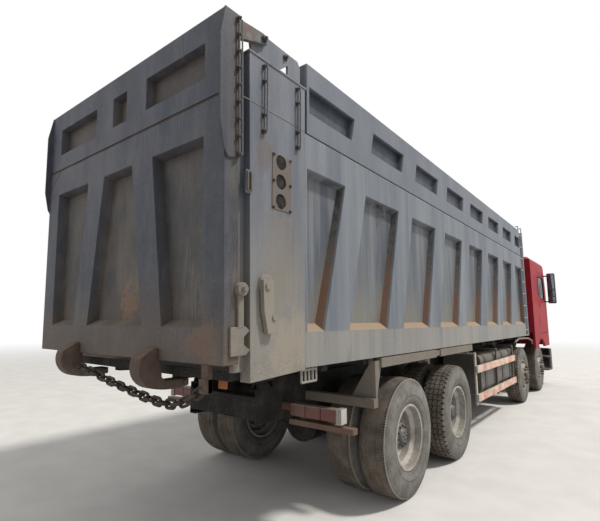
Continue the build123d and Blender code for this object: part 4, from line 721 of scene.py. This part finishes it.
def place_piece(name, mesh, body):
    mesh.name = name
    piece = add_object(name, mesh)
    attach(piece, body)
    print(name + ":", len(mesh.polygons), "faces on", body)
    return piece


def plate(outline, low, high, finish, bevel, lean=None):
    """A plate from an outline of (y, z) points, from x = low to x = high, with bevelled edges."""
    solid = bmesh.new()
    face = solid.faces.new([solid.verts.new((low, y, z)) for y, z in outline])
    pushed = bmesh.ops.extrude_face_region(solid, geom=[face])["geom"]
    far_corners = [item for item in pushed if isinstance(item, bmesh.types.BMVert)]
    bmesh.ops.translate(solid, verts=far_corners, vec=(high - low, 0, 0))
    bmesh.ops.recalc_face_normals(solid, faces=solid.faces)
    edges = [edge for edge in solid.edges if edge.calc_face_angle(0) > radians(25)]
    bmesh.ops.bevel(solid, geom=edges, offset=bevel, segments=2, profile=0.6, affect="EDGES", clamp_overlap=True)
    if lean:
        bmesh.ops.transform(solid, matrix=lean, verts=solid.verts)
    return kept(solid, finish, 30.0)


def block(x0, x1, y0, y1, z0, z1, finish, bevel=0.003, lean=None):
    return plate([(y0, z0), (y1, z0), (y1, z1), (y0, z1)], min(x0, x1), max(x0, x1), finish, bevel, lean)


print("mesh helpers ready")

# %% [markdown]
# ## Tyres
# A tyre's surface follows a rule, so it is grown from one pitch: a narrow wedge of tread and sidewall with its share
# of every groove. A tree turns copies of the wedge round the axle and welds them. The three front axles wear block
# treads with zigzag grooves and notched shoulders. The last axle's tyres are worn smooth, with a nicked shoulder ring.

# %% Ring of pitches
def ring_tree():
    tree, want = shape_tree("ring of pitches", {"Count": 54, "Weld": 0.0003})
    points = step(tree, "GeometryNodePoints", {"Count": want["Count"]})
    index = step(tree, "GeometryNodeInputIndex")
    turn = index.maths("DIVIDE", want["Count"]) * (2 * pi)
    real = step(tree, "GeometryNodeRealizeInstances", {
        "Geometry": copies_on(tree, points, want["Geometry"], Rotation=turn_about(tree, X=turn))})
    welded = step(tree, "GeometryNodeMergeByDistance", {"Geometry": real, "Distance": want["Weld"]})
    return close_tree(tree, want, welded)


ring = ring_tree()
print("ring tree:", len(ring.nodes), "nodes")

# %% One pitch of tyre
tyre_outer, tread_half, tread_drop, tread_share = 0.5425, 0.118, 0.008, 0.45
side_wall = [  # across and radius in metres, from the bead to the shoulder
    (0.1143, 0.2860), (0.1155, 0.2985), (0.1270, 0.3110), (0.1400, 0.3340), (0.1470, 0.3640), (0.1495, 0.3980),
    (0.1480, 0.4300), (0.1425, 0.4580), (0.1365, 0.4800), (0.1335, 0.4860), (0.1305, 0.5000), (0.1268, 0.5120),
    (0.1225, 0.5240),
]
inside_wall = [(0.1060, 0.3100), (0.1230, 0.4100), (0.1080, 0.4950)]


def tread_radius(across):
    return tyre_outer - 0.0003 - tread_drop * (across / tread_half) ** 2


def tyre_columns(grooves, top_half, floor_half):
    """Columns from one bead over the tread to the other and back inside: across, radius, band and kind."""
    last = len(side_wall) - 1
    walls = [(a, r, 1 - (1 - tread_share - 0.02) * k / last, "wall") for k, (a, r) in enumerate(side_wall)]
    walls[-1] = (*walls[-1][:3], "edge")
    tread = [(-tread_half, "shoulder"), (-0.097, "shoulder"), (-0.093, "top")]
    for centre in grooves:
        tread += [(centre - top_half, "top"), (centre - floor_half, "floor"), (centre + floor_half, "floor"),
                  (centre + top_half, "top")]
    tread += [(0.093, "top"), (0.097, "shoulder"), (tread_half, "shoulder")]
    columns = [(-a, r, -band, kind) for a, r, band, kind in walls]
    columns += [(a, tread_radius(a), a / tread_half * (tread_share - 0.01), kind) for a, kind in tread]
    columns += reversed(walls)
    columns += [(a, r, 1.2, "inside") for a, r in inside_wall]
    return columns + [(-a, r, -1.2, "inside") for a, r in reversed(inside_wall)]


def tyre_pitch(columns, rows, count, groove_depth, slot_depth, notch_depth, zigzag):
    """One wedge of tyre. Each row is a share of the pitch, and says if it lies in a notch or in a slot."""
    corners, bands, deep = [], [], []
    rows = rows + [(1.0, *rows[0][1:])]
    for share, notch, slot in rows:
        angle = share * 2 * pi / count
        swing = zigzag * (abs(2 * share - 1) * 2 - 1)
        for across, radius, band, kind in columns:
            depth, moved_across = 0.0, across
            if kind == "floor":
                depth, moved_across = groove_depth, across + swing
            elif kind == "top":
                depth = slot_depth * slot
                moved_across = across + (swing if abs(across) < 0.09 else 0.0)
            elif kind == "shoulder":
                depth = notch_depth * notch
            elif kind == "edge":
                depth = notch_depth * 0.7 * notch
                moved_across = across * (1 - 0.05 * notch)
            reach = radius - depth
            corners.append((moved_across, -reach * sin(angle), reach * cos(angle)))
            deep.append(min(1.0, depth / 0.008))
            bands.append(band)
    wide = len(columns)
    faces, shares = [], []
    for r, (start, end) in enumerate(zip(rows, rows[1:])):
        for c in range(wide):
            after = (c + 1) % wide
            low, high = r * wide, (r + 1) * wide
            faces.append((low + c, high + c, high + after, low + after))
            shares += [start[0], bands[c], end[0], bands[c], end[0], bands[after], start[0], bands[after]]
    mesh = bpy.data.meshes.new("pitch")
    mesh.from_pydata(corners, [], faces)
    mesh.attributes.new("deep", "FLOAT", "POINT").data.foreach_set("value", deep)
    mesh.uv_layers.new(name="tread map").uv.foreach_set("vector", shares)
    return mesh


print("tread:", 2 * tread_half, "m wide")

# %% Rubber
def rubber(name, tread_tone, wall_tone, sipes):
    """Dusty rubber that follows the tread map: bands across the tyre, shares of a pitch around it."""
    material, tree = new_material(name)
    share, across, _ = step(tree, "ShaderNodeUVMap", uv_map="tread map").parts()
    band = abs(across)
    deep = step(tree, "ShaderNodeAttribute", out="Fac", attribute_name="deep")
    spot = object_place(tree)
    cloudy = spot.noise(7.0, 7.0, 0.65)
    grain = spot.noise(70.0, 4.0, 0.6)
    on_tread = band.mask(tread_share + 0.01, tread_share - 0.01)
    tint = on_tread.mix(cloudy.tones(wall_tone, (92, 89, 84)), cloudy.tones(tread_tone, (72, 64, 56)))
    # Groove floors, slots and notches turn near black with their depth: painted shade in the recesses.
    tint = deep.mask(0.15, 0.85, 0.0, 0.85).mix(tint, (34, 30, 28))
    bead_zone = band.mask(0.84, 0.9) * band.mask(1.1, 1.0)
    shoulder_zone = band.mask(0.47, 0.5) * band.mask(0.62, 0.58)
    ringed = (band * 150.0).maths("SINE") * bead_zone.larger(shoulder_zone)
    tint = ringed.mask(0.0, 1.0, 0.0, 0.5).mix(tint, (66, 62, 58))
    moulded = abs(abs(band - 0.72) - 0.085)
    tint = moulded.mask(0.012, 0.005, 0.0, 0.6).mix(tint, (62, 60, 57))
    line = abs((share + across * 9.0).maths("FRACT") - 0.5)
    cut = line.mask(0.09, 0.04) * (on_tread * sipes) * grain.mask(0.25, 0.5, 0.5, 1.0)
    tint = (cut * 0.75).mix(tint, (42, 37, 33))
    nick_ring = band.mask(0.43, 0.445) * band.mask(0.49, 0.475)
    tint = (nick_ring * (0.5 * sipes)).mix(tint, (168, 162, 152))
    height = grain * 0.3 + ringed * 0.6 - cut
    raised = step(tree, "ShaderNodeBump", {"Height": height, "Distance": 0.0025, "Strength": 1.0})
    close_material(tree, {"Base Color": tint, "Roughness": cloudy.mask(0.3, 0.7, 0.72, 0.92), "Normal": raised})
    return material


finishes["block rubber"] = rubber("block tread rubber", (112, 104, 92), (116, 113, 108), 0.0)
finishes["worn rubber"] = rubber("worn tread rubber", (108, 98, 86), (124, 121, 116), 1.0)
print("two kinds of rubber")

# %% Two kinds of tyre
block_rows = [  # share of the pitch, in a notch, in a slot
    (0.0, 0, 0), (0.10, 0, 0), (0.15, 1, 0), (0.38, 1, 0), (0.43, 0, 0), (0.62, 0, 0), (0.65, 0, 1), (0.73, 0, 1),
    (0.76, 0, 0),
]
worn_rows = [(0.0, 0, 0), (0.36, 0, 0), (0.48, 1, 0), (0.88, 1, 0)]
block_count, worn_count = 54, 150
block_columns = tyre_columns((-0.055, 0.0, 0.055), 0.0068, 0.0035)
worn_columns = tyre_columns((-0.045, 0.045), 0.004, 0.002)
block_tyre = grown(tyre_pitch(block_columns, block_rows, block_count, 0.013, 0.008, 0.013, 0.006),
                   ring, "block rubber", 40.0, count=block_count)
worn_tyre = grown(tyre_pitch(worn_columns, worn_rows, worn_count, 0.003, 0.0, 0.004, 0.002),
                  ring, "worn rubber", 40.0, count=worn_count)
print("tyre faces:", len(block_tyre.polygons), "with blocks and", len(worn_tyre.polygons), "worn")

# %% Fit the tyres
front_x, twin_x = (1.02,), (0.7625, 1.1075)
sides = (("left", 1), ("right", -1))
for number, axle_y in axle_places.items():
    for letter, side in sides:
        copies = []
        for x in (front_x if number in "12" else twin_x):
            copy = (worn_tyre if number == "4" else block_tyre).copy()
            copy.transform(Matrix.Translation((side * x, axle_y, wheel_height)))
            copies.append(copy)
        mesh = copies[0] if len(copies) == 1 else merged(*copies)
        tyre = place_piece(f"tread_{number}_{letter}", mesh, f"wheel_{number}_{letter}")
        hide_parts(f"tyre_{number}_{letter}")

# %% [markdown]
# ## Bolts and nuts
# A fastener is a washer, a hexagon head and the end of its stud. The tree puts one at each point, turned to face the
# way that the point says, at the point's size, and with its hexagon at a random turn, as a spanner leaves it.

# %% Fastener tree
def fastener_tree():
    tree, want = shape_tree("fasteners", {"Head Height": 0.45, "Stud Height": 0.8, "Seed": 7})
    shape = add_node(tree, "GeometryNodeJoinGeometry")
    for edges, radius, height in ((14, 0.66, 0.14), (6, 0.52, want["Head Height"]), (8, 0.26, want["Stud Height"])):
        rod = step(tree, "GeometryNodeMeshCylinder", {"Vertices": edges, "Radius": radius, "Depth": height}, "Mesh")
        lifted = {"Geometry": rod, "Translation": turn_about(tree, Z=height * 0.5)}
        tree.links.new(step(tree, "GeometryNodeTransform", lifted).socket, shape.inputs[0])
    outward = named(tree, "facing", "FLOAT_VECTOR")
    facing = step(tree, "FunctionNodeAlignRotationToVector", {"Vector": outward}, axis="Z")
    chance = step(tree, "FunctionNodeRandomValue", {2: 0.0, 3: pi / 3, "Seed": want["Seed"]}, 1)
    turned = step(tree, "FunctionNodeRotateRotation", {"Rotation": facing, "Rotate By": turn_about(tree, Z=chance)},
                  rotation_space="LOCAL")
    copies = copies_on(tree, want["Geometry"], Value(shape.outputs[0]), Rotation=turned, Scale=named(tree, "size"))
    return close_tree(tree, want, copies)


fasteners = fastener_tree()


def bolts(rows, **values):
    """Fasteners at rows of place, side that they face, and size."""
    places, facings, sizes = zip(*rows)
    base = points_mesh(places, facing=[(side, 0, 0) for side in facings], size=sizes)
    return grown(base, fasteners, "bolt", 30.0, **values)


def ring_places(x, axle_y, radius, count, side, size, start=0.0):
    angles = [start + 2 * pi * k / count for k in range(count)]
    return [((x, axle_y + radius * sin(a), wheel_height + radius * cos(a)), side, size) for a in angles]


print("fastener tree:", len(fasteners.nodes), "nodes")

# %% Round solids
def turned_solid(profile, side, axle_y, finish, spokes=48):
    """A solid of revolution round an axle, from (distance out, radius) points that start and end on the axle."""
    solid = bmesh.new()
    angles = [2 * pi * k / spokes for k in range(spokes)]
    loops = [[solid.verts.new((side * out, axle_y + radius * sin(a), wheel_height + radius * cos(a))) for a in angles]
             for out, radius in profile[1:-1]]
    pairs = [(k, (k + 1) % spokes) for k in range(spokes)]
    for (out, radius), loop in ((profile[0], loops[0]), (profile[-1], loops[-1])):
        middle = solid.verts.new((side * out, axle_y, wheel_height))
        for k, after in pairs:
            solid.faces.new((middle, loop[k], loop[after]))
    for near, far in zip(loops, loops[1:]):
        for k, after in pairs:
            solid.faces.new((near[k], far[k], far[after], near[after]))
    bmesh.ops.recalc_face_normals(solid, faces=solid.faces)
    return kept(solid, finish, 35.0)


hub_profile = [
    (0.965, 0), (0.965, 0.128), (1.128, 0.122), (1.146, 0.117), (1.152, 0.109), (1.152, 0.071), (1.166, 0.068),
    (1.176, 0.058), (1.180, 0.040), (1.180, 0),
]
print("hub profile:", len(hub_profile), "points")

# %% Hubs and wheel nuts
front_rings = [  # how far out, radius, count, size and first angle
    (1.1925, 0.160, 10, 0.044, 0.2), (1.24, 0.042, 6, 0.014, 0.0),
]
rear_rings = [(0.951, 0.163, 10, 0.044, 0.2), (1.152, 0.092, 10, 0.020, 0.5), (1.180, 0.030, 4, 0.012, 0.0)]
for number, axle_y in axle_places.items():
    for letter, side in sides:
        rows = []
        for out, radius, count, size, start in (front_rings if number in "12" else rear_rings):
            rows += ring_places(side * out, axle_y, radius, count, side, size, start)
        nuts = bolts(rows, seed=int(number))
        if number in "34":
            nuts = merged(nuts, turned_solid(hub_profile, side, axle_y, "rim " + number))
        place_piece(f"nuts_{number}_{letter}", nuts, f"wheel_{number}_{letter}")

# %% [markdown]
# ## Round bars
# Tarp rods, hooks, a rope ring and weld beads are all a round bar along a line. The tree rounds the line's corners,
# sweeps a circle along it and can make the bar's thickness uneven, as a weld bead or a rope is.

# %% Bar tree
def bar_tree():
    tree, want = shape_tree("round bar", {
        "Radius": 0.005, "Bend": 0.01, "Step": 0.02, "Uneven": 0.0, "Edges": 8, "Seed": 5})
    line = step(tree, "GeometryNodeMeshToCurve", {"Mesh": want["Geometry"]})
    bent = step(tree, "GeometryNodeFilletCurve", {
        "Curve": line, "Count": 5, "Radius": want["Bend"], "Limit Radius": True}, mode="POLY")
    stepped = step(tree, "GeometryNodeResampleCurve", {"Curve": bent, "Length": want["Step"]}, mode="LENGTH")
    is_uneven = step(tree, "FunctionNodeCompare", {0: want["Uneven"], 1: 0.0}, data_type="FLOAT",
                     operation="GREATER_THAN")
    chosen = step(tree, "GeometryNodeSwitch", {"Switch": is_uneven, "False": bent, "True": stepped},
                  input_type="GEOMETRY")
    chance = step(tree, "FunctionNodeRandomValue", {2: 1.0 - want["Uneven"], 3: 1.0, "Seed": want["Seed"]}, 1)
    sized = step(tree, "GeometryNodeSetCurveRadius", {"Curve": chosen, "Radius": chance})
    circle = step(tree, "GeometryNodeCurvePrimitiveCircle", {
        "Resolution": want["Edges"], "Radius": want["Radius"]}, mode="RADIUS")
    bar = step(tree, "GeometryNodeCurveToMesh", {"Curve": sized, "Profile Curve": circle, "Fill Caps": True})
    return close_tree(tree, want, bar)


round_bar = bar_tree()


def bars(lines, finish, closed=False, **values):
    """Round bars along lines of points."""
    places, edges = [], []
    for line in lines:
        start = len(places)
        places += line
        edges += [(start + k, start + k + 1) for k in range(len(line) - 1)]
        if closed:
            edges.append((start + len(line) - 1, start))
    return grown(points_mesh(places, edges), round_bar, finish, 45.0, **values)


print("bar tree:", len(round_bar.nodes), "nodes")

# %% [markdown]
# ## Tarp rods on the rear corners
# A rope that ties the tarpaulin is looped round these: each is a thin rod bent back on itself at its foot, held a
# finger's width off the steel by bolts. Two stand on each rear post, and a longer one on each cheek of the tailgate.

# %% Tarp rods
post_x, cheek_x = 1.19, 1.202
rod_gap, rod_radius, rod_bend, rod_stand, stud_size = 0.024, 0.0055, 0.011, 0.018, 0.026
post_rods = [  # the rod's place along the truck, its head, its foot, and its bolts' heights
    (5.381, 3.300, 2.838, (3.300, 3.193, 2.956, 2.846)),
    (5.028, 3.300, 2.840, (3.300, 3.189, 2.967, 2.854)),
]
cheek_y, cheek_head, cheek_foot, cheek_bolts = 5.634, 3.490, 2.615, 9


def bent_rod(x, head_y, foot_y, head, foot):
    return [(x, head_y, head), (x, foot_y, foot), (x, foot_y - rod_gap, foot), (x, head_y - rod_gap, head)]


def place_rods(name, lines, rows, body):
    rods = bars(lines, "rod", radius=rod_radius, bend=rod_bend)
    studs = bolts(rows, head_height=0.95, stud_height=1.3)
    place_piece(name, merged(rods, studs), body)


for letter, side in sides:
    lines = [bent_rod(side * (post_x + rod_stand), y, y, head, foot) for y, head, foot, _ in post_rods]
    rows = [((side * post_x, y, height), side, stud_size) for y, _, _, heights in post_rods for height in heights]
    place_rods(f"post_rods_{letter}", lines, rows, "load_body")

    lean = gate_slope * (cheek_head - cheek_foot)
    rows = []
    for k in range(cheek_bolts):
        share = k / (cheek_bolts - 1)
        height = cheek_foot + (cheek_head - cheek_foot) * share
        rows.append(((side * cheek_x, cheek_y - lean + lean * share, height), side, stud_size))
    line = bent_rod(side * (cheek_x + rod_stand), cheek_y, cheek_y - lean, cheek_head, cheek_foot)
    place_rods(f"cheek_rods_{letter}", [line], rows, "tailgate")

# %% [markdown]
# ## Rear posts with their lamp plate
# The lamp plate in the photograph stands a little nearer to the tailgate than on the CAD posts. A CAD mesh is never
# changed, so the posts are copied, the copy's plate and wells slide back along the flat wall, and the copy stands in.

# %% Posts
plate_shift = 0.1
plate_zone_x, plate_zone_y, plate_zone_z = 1.15, (4.985, 5.19), (2.35, 2.745)

solid = bmesh.new()
solid.from_mesh(nodes["rear_posts"].data)
bmesh.ops.remove_doubles(solid, verts=solid.verts, dist=0.00002)
for corner in solid.verts:
    x, y, z = corner.co
    in_zone = plate_zone_y[0] < y < plate_zone_y[1] and plate_zone_z[0] < z < plate_zone_z[1]
    if in_zone and abs(x) > plate_zone_x:
        corner.co.y += plate_shift
mesh = bpy.data.meshes.new("posts")
solid.to_mesh(mesh)
solid.free()
if "custom_normal" in mesh.attributes:
    mesh.attributes.remove(mesh.attributes["custom_normal"])
mesh.materials.clear()
mesh.materials.append(finishes["post"])
posts = place_piece("posts", shade(mesh, 30.0), "load_body")
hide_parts("rear_posts")

# %% Lamp meshes and bolts
lamp_x, lamp_y, lamp_radius, lamp_rise = 1.186, 5.198, 0.0515, 0.003
lamp_heights = (2.418, 2.554, 2.690)
plate_bolts = [(y, z) for z in (2.368, 2.5485, 2.729) for y in (5.102, 5.274)]
plate_bolt_x, plate_bolt_size = 1.194, 0.017
bracket_bolt, bracket_bolt_size = (1.168, 5.135, 3.505), 0.036
hinge_nut, hinge_nut_size = (1.202, 5.394, 3.49), 0.04


def domed_disc(x, y, z, radius, rise, side, finish, rings=5, spokes=28):
    """A round disc whose middle stands `rise` further out than its rim."""
    solid = bmesh.new()
    middle = solid.verts.new((x + side * rise, y, z))
    angles = [2 * pi * s / spokes for s in range(spokes)]
    loops = []
    for k in range(1, rings + 1):
        share = k / rings
        out, reach = x + side * rise * (1 - share ** 2), radius * share
        loops.append([solid.verts.new((out, y + reach * cos(a), z + reach * sin(a))) for a in angles])
    back = [solid.verts.new((x - side * 0.006, corner.co.y, corner.co.z)) for corner in loops[-1]]
    loops.append(back)
    for s in range(spokes):
        after = (s + 1) % spokes
        solid.faces.new((middle, loops[0][s], loops[0][after]))
        for near, far in zip(loops, loops[1:]):
            solid.faces.new((near[s], far[s], far[after], near[after]))
    solid.faces.new(back)
    bmesh.ops.recalc_face_normals(solid, faces=solid.faces)
    return kept(solid, finish, 40.0)


for letter, side in sides:
    discs = [domed_disc(side * lamp_x, lamp_y, z, lamp_radius, lamp_rise, side, "lamp mesh") for z in lamp_heights]
    rows = [((side * plate_bolt_x, y, z), side, plate_bolt_size) for y, z in plate_bolts]
    out, y, z = bracket_bolt
    rows.append(((side * out, y, z), side, bracket_bolt_size))
    place_piece(f"lamp_fittings_{letter}", merged(*discs, bolts(rows)), "load_body")
    out, y, z = hinge_nut
    nut = bolts([((side * out, y, z), side, hinge_nut_size)])
    place_piece(f"hinge_nut_{letter}", nut, "tailgate")

# %% [markdown]
# ## Claws and chain under the tailgate
# Two hook claws hold the closed gate's foot, and a slack chain hangs from the left one. The chain is the feature that
# most asks for care: each link is a closed loop of round bar, turned a quarter against its neighbours, and threaded
# through them. The tree shapes one link and sets it at each point, which carries the link's slope and quarter turn.

# %% Chain tree
def chain_tree():
    tree, want = shape_tree("chain", {"Link Length": 0.114, "Link Width": 0.068, "Bar": 0.02})
    length, width = want["Link Length"] - want["Bar"], want["Link Width"] - want["Bar"]
    loop = step(tree, "GeometryNodeCurvePrimitiveQuadrilateral", {"Width": length, "Height": width})
    rounded = step(tree, "GeometryNodeFilletCurve", {"Curve": loop, "Count": 5, "Radius": width * 0.499}, mode="POLY")
    circle = step(tree, "GeometryNodeCurvePrimitiveCircle", {
        "Resolution": 8, "Radius": want["Bar"] * 0.5}, mode="RADIUS")
    link = step(tree, "GeometryNodeCurveToMesh", {"Curve": rounded, "Profile Curve": circle})
    turns = turn_about(tree, X=named(tree, "roll"), Y=named(tree, "slope"))
    return close_tree(tree, want, copies_on(tree, want["Geometry"], link, Rotation=turns))


chain_pitch = 0.071
chain_place = Vector((0.488, 5.689, 1.287))
chain_slopes = [6, 7, 7, 9, 11, 11, 10, 8, 8, 8, 8, 8, 8, 7, 6, 4, 1, -5, -12, -19, -26, -32]
gate_pivot = Vector((0, gate_face, gate_foot))
gate_lean = Matrix.Translation(gate_pivot) @ Matrix.Rotation(radians(-1.5), 4, "X") @ Matrix.Translation(-gate_pivot)

places, rolls, slopes = [], [], []
chain_end = chain_place.copy()
for k, slope in enumerate(chain_slopes):
    along = Vector((-cos(radians(slope)), 0, -sin(radians(slope)))) * chain_pitch
    places.append(chain_end + along / 2)
    rolls.append(radians(90.0 * (k % 2) + 6.0 * ((k * 5) % 3 - 1)))
    slopes.append(radians(-slope))
    chain_end += along
chain = grown(points_mesh(places, roll=rolls, slope=slopes), chain_tree(), "chain", 50.0)
chain.transform(gate_lean)
print("chain:", len(places), "links down to", [round(v, 3) for v in chain_end])

# %% Claws
def arc(start, middle, end, count=8):
    """Points on the circle through three points, after `start` and up to `end`."""
    (ax, ay), (bx, by), (cx, cy) = start, middle, end
    d = 2 * (ax * (by - cy) + bx * (cy - ay) + cx * (ay - by))
    a2, b2, c2 = ax * ax + ay * ay, bx * bx + by * by, cx * cx + cy * cy
    ux = (a2 * (by - cy) + b2 * (cy - ay) + c2 * (ay - by)) / d
    uy = (a2 * (cx - bx) + b2 * (ax - cx) + c2 * (bx - ax)) / d
    first, last = atan2(ay - uy, ax - ux), atan2(cy - uy, cx - ux)
    turn = (last - first + pi) % (2 * pi) - pi
    radius = hypot(ax - ux, ay - uy)
    angles = [first + turn * (k + 1) / count for k in range(count)]
    return [(ux + radius * cos(angle), uy + radius * sin(angle)) for angle in angles]


claw_middle, claw_half, pin_proud = 0.53, 0.055, 0.014
y, z = gate_face, gate_foot
nose, foot = (y + 0.122, z + 0.022), (y + 0.04, z - 0.172)
claw_outline = [(y, z + 0.076), (y + 0.03, z + 0.076), nose]
claw_outline += arc(nose, (y + 0.128, z - 0.082), foot)
claw_outline += arc(foot, (y - 0.09, z - 0.194), (y - 0.24, z - 0.186))
claw_outline += [(y - 0.24, z - 0.138), (y - 0.06, z - 0.136), (y - 0.03, z - 0.108), (y - 0.026, z - 0.001),
                 (y, z - 0.001)]
pieces = []
for side in (1, -1):
    low, high = sorted((side * (claw_middle - claw_half), side * (claw_middle + claw_half)))
    pieces.append(plate(claw_outline, low, high, "rusty", 0.006, gate_lean))
    ends = [(x, y - 0.206, z - 0.162) for x in (low - pin_proud, high + pin_proud)]
    pin = bars([ends], "rusty", radius=0.016, edges=14)
    pin.transform(gate_lean)
    pieces.append(pin)
x, z_end = chain_end.x, chain_end.z
for rear, top in ((chain_place.y + 0.008, z_end + 0.06), (chain_place.y - 0.01, gate_foot - 0.001)):
    pieces.append(block(x - 0.034, x + 0.026, chain_place.y - 0.044, rear, z_end - 0.02, top, "rusty", lean=gate_lean))
hooks = place_piece("claws_and_chain", merged(*pieces, chain), "tailgate")
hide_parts("tailgate_hooks")

# %% [markdown]
# ## Seams, hooks and small pieces on the body
# Welds and seams break up the large plates: a pale bead across the right rear post, and a dark seam over the gate's
# upper left corner. A hook hangs in the second bay, a rope is tied round the ring on the post, and under the post's
# front hangs a small bleached grid.

# %% Seams
weld_x, weld_front, weld_height = -1.191, 4.93, 3.014
post_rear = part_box("rear_posts")[1][1]
weld_rear = post_rear - 0.042
weld = bars([[(weld_x, weld_rear, weld_height), (weld_x, weld_front, weld_height)]], "pale", radius=0.0028,
            uneven=0.5, step=0.006)
place_piece("post_weld", weld, "load_body")


def on_gate(x, z):
    """A place on the tailgate's rear face."""
    return (x, gate_face + (z - gate_foot) * gate_slope, z)


seam = bars([[on_gate(0.999, 2.972), on_gate(1.186, 2.806)]], "rusty", radius=0.0035, uneven=0.4, step=0.008)
head_weld = bars([[on_gate(-1.18, 2.973), on_gate(1.18, 2.973)]], "rusty", radius=0.004, uneven=0.5, step=0.01, seed=9)
place_piece("gate_seams", merged(seam, head_weld), "tailgate")

# %% Hook and rope
y, z = 3.66, 2.74
hook = bars([[(-1.176, y, z), (-1.182, y, z - 0.11), (-1.15, y - 0.03, z - 0.12), (-1.14, y - 0.05, z - 0.05)]],
            "rope", radius=0.007, bend=0.02)
ear = bars([[(-1.15, y + 0.03, z), (-1.165, y + 0.06, z - 0.075), (-1.15, y + 0.09, z)]], "rusty", radius=0.008,
           bend=0.02)
rope_line = [(-1.2, 5.51, 2.55), (-1.212, 5.50, 2.53), (-1.214, 5.498, 2.42), (-1.2, 5.505, 2.398),
             (-1.206, 5.522, 2.42), (-1.208, 5.524, 2.53)]
rope = bars([rope_line], "rope", closed=True, radius=0.0075, bend=0.012, uneven=0.35, step=0.006)
place_piece("hook_and_rope", merged(hook, ear, rope), "load_body")

# %% Grid and reflector
grid_x, front, rear, low, high = -1.15, 4.748, 4.92, 1.206, 1.31
bars_at = [front + (rear - front) * k / 4 for k in range(5)]
lines = [[(grid_x, y, high), (grid_x, y, low)] for y in bars_at]
lines += [[(grid_x, front, z), (grid_x, rear, z)] for z in (low, high - 0.02)]
grid = bars(lines, "pale", radius=0.0085, bend=0.0)
tag = block(-0.80, -0.87, 5.34, 5.36, 1.19, 1.283, "orange", 0.004)
place_piece("grid_and_tag", merged(grid, tag), "load_body")

# %% [markdown]
# ## Cab fittings
# The cab's mirrors get their glass, each door window its rubber seal, each door its vent slats, and the bumper its
# lamp lenses. They are small, but a truck's front looks blind and unfinished without them.

# %% Mirror glass, window seals and vents
glass_inner, glass_outer, glass_front, glass_rear = 1.338, 1.482, -5.204, -5.197
glass_heights = ((2.25, 2.80), (2.09, 2.225))
seal_x, vent_top, vent_pitch = 1.229, 1.74, 0.045
window_outline = [(-5.25, 2.11), (-4.4, 2.23), (-4.4, 2.71), (-5.15, 2.71), (-5.25, 2.5)]
for letter, side in sides:
    glasses = [block(side * glass_inner, side * glass_outer, glass_front, glass_rear, low, high, "mirror", 0.002)
               for low, high in glass_heights]
    place_piece(f"mirror_glass_{letter}", merged(*glasses), f"door_{letter}")
    seal = bars([[(side * seal_x, y, z) for y, z in window_outline]], "plastic", closed=True, radius=0.011, bend=0.04)
    slats = [[(side * seal_x, y, vent_top - vent_pitch * k) for y in (-4.40, -4.33)] for k in range(6)]
    vents = bars(slats, "plastic", radius=0.009, edges=6)
    place_piece(f"door_trim_{letter}", merged(seal, vents), f"door_{letter}")

# %% Lamp lenses
lens_y, lens_rise = -5.7915, 0.007
lenses = []
for side in (1, -1):
    for x, z, radius in ((0.79, 0.745, 0.066), (0.94, 0.745, 0.066), (0.82, 0.49, 0.04)):
        disc = domed_disc(0, 0, 0, radius, lens_rise, 1, "lens")
        disc.transform(Matrix.Translation((side * x, lens_y, z)) @ Matrix.Rotation(-pi / 2, 4, "Z"))
        lenses.append(disc)
place_piece("lamp_lenses", merged(*lenses), "chassis")

# %% [markdown]
# ## Dress the CAD nodes
# A CAD piece whose shape is right keeps its mesh and only gets a better material. The table pairs the beginning of a
# node's name with its finish, and what it doesn't name is part of the dark frame.

# %% Finish by node
node_finishes = [
    ("body_sides", "side"), ("side_boards", "board"), ("front_wall", "board"), ("rear_posts", "post"),
    ("ladder", "galvanised"), ("tailgate_hooks", "rusty"), ("tailgate_arms", "fitting"), ("tailgate", "gate"),
    ("hoist_stage", "chrome"), ("cab_shell", "red"), ("door_glass", "glass"), ("cab_glass", "glass"), ("door", "red"),
    ("mirror", "plastic"), ("cab_trim", "plastic"), ("cab_interior", "fabric"), ("bumper", "plastic"),
    ("side_guards", "pink"), ("fuel_tank", "silver"), ("fenders", "skirt"), ("tail_lamps", "lamp"),
]
node_finishes += [("rim_" + number, "rim " + number) for number in axle_places]
for name, node in nodes.items():
    finish = next((finish for start, finish in node_finishes if name.startswith(start)), "frame")
    node.data.materials.clear()
    node.data.materials.append(finishes[finish])
print("dressed:", len(nodes), "nodes")

# %% Update the scene
bpy.context.view_layer.update()
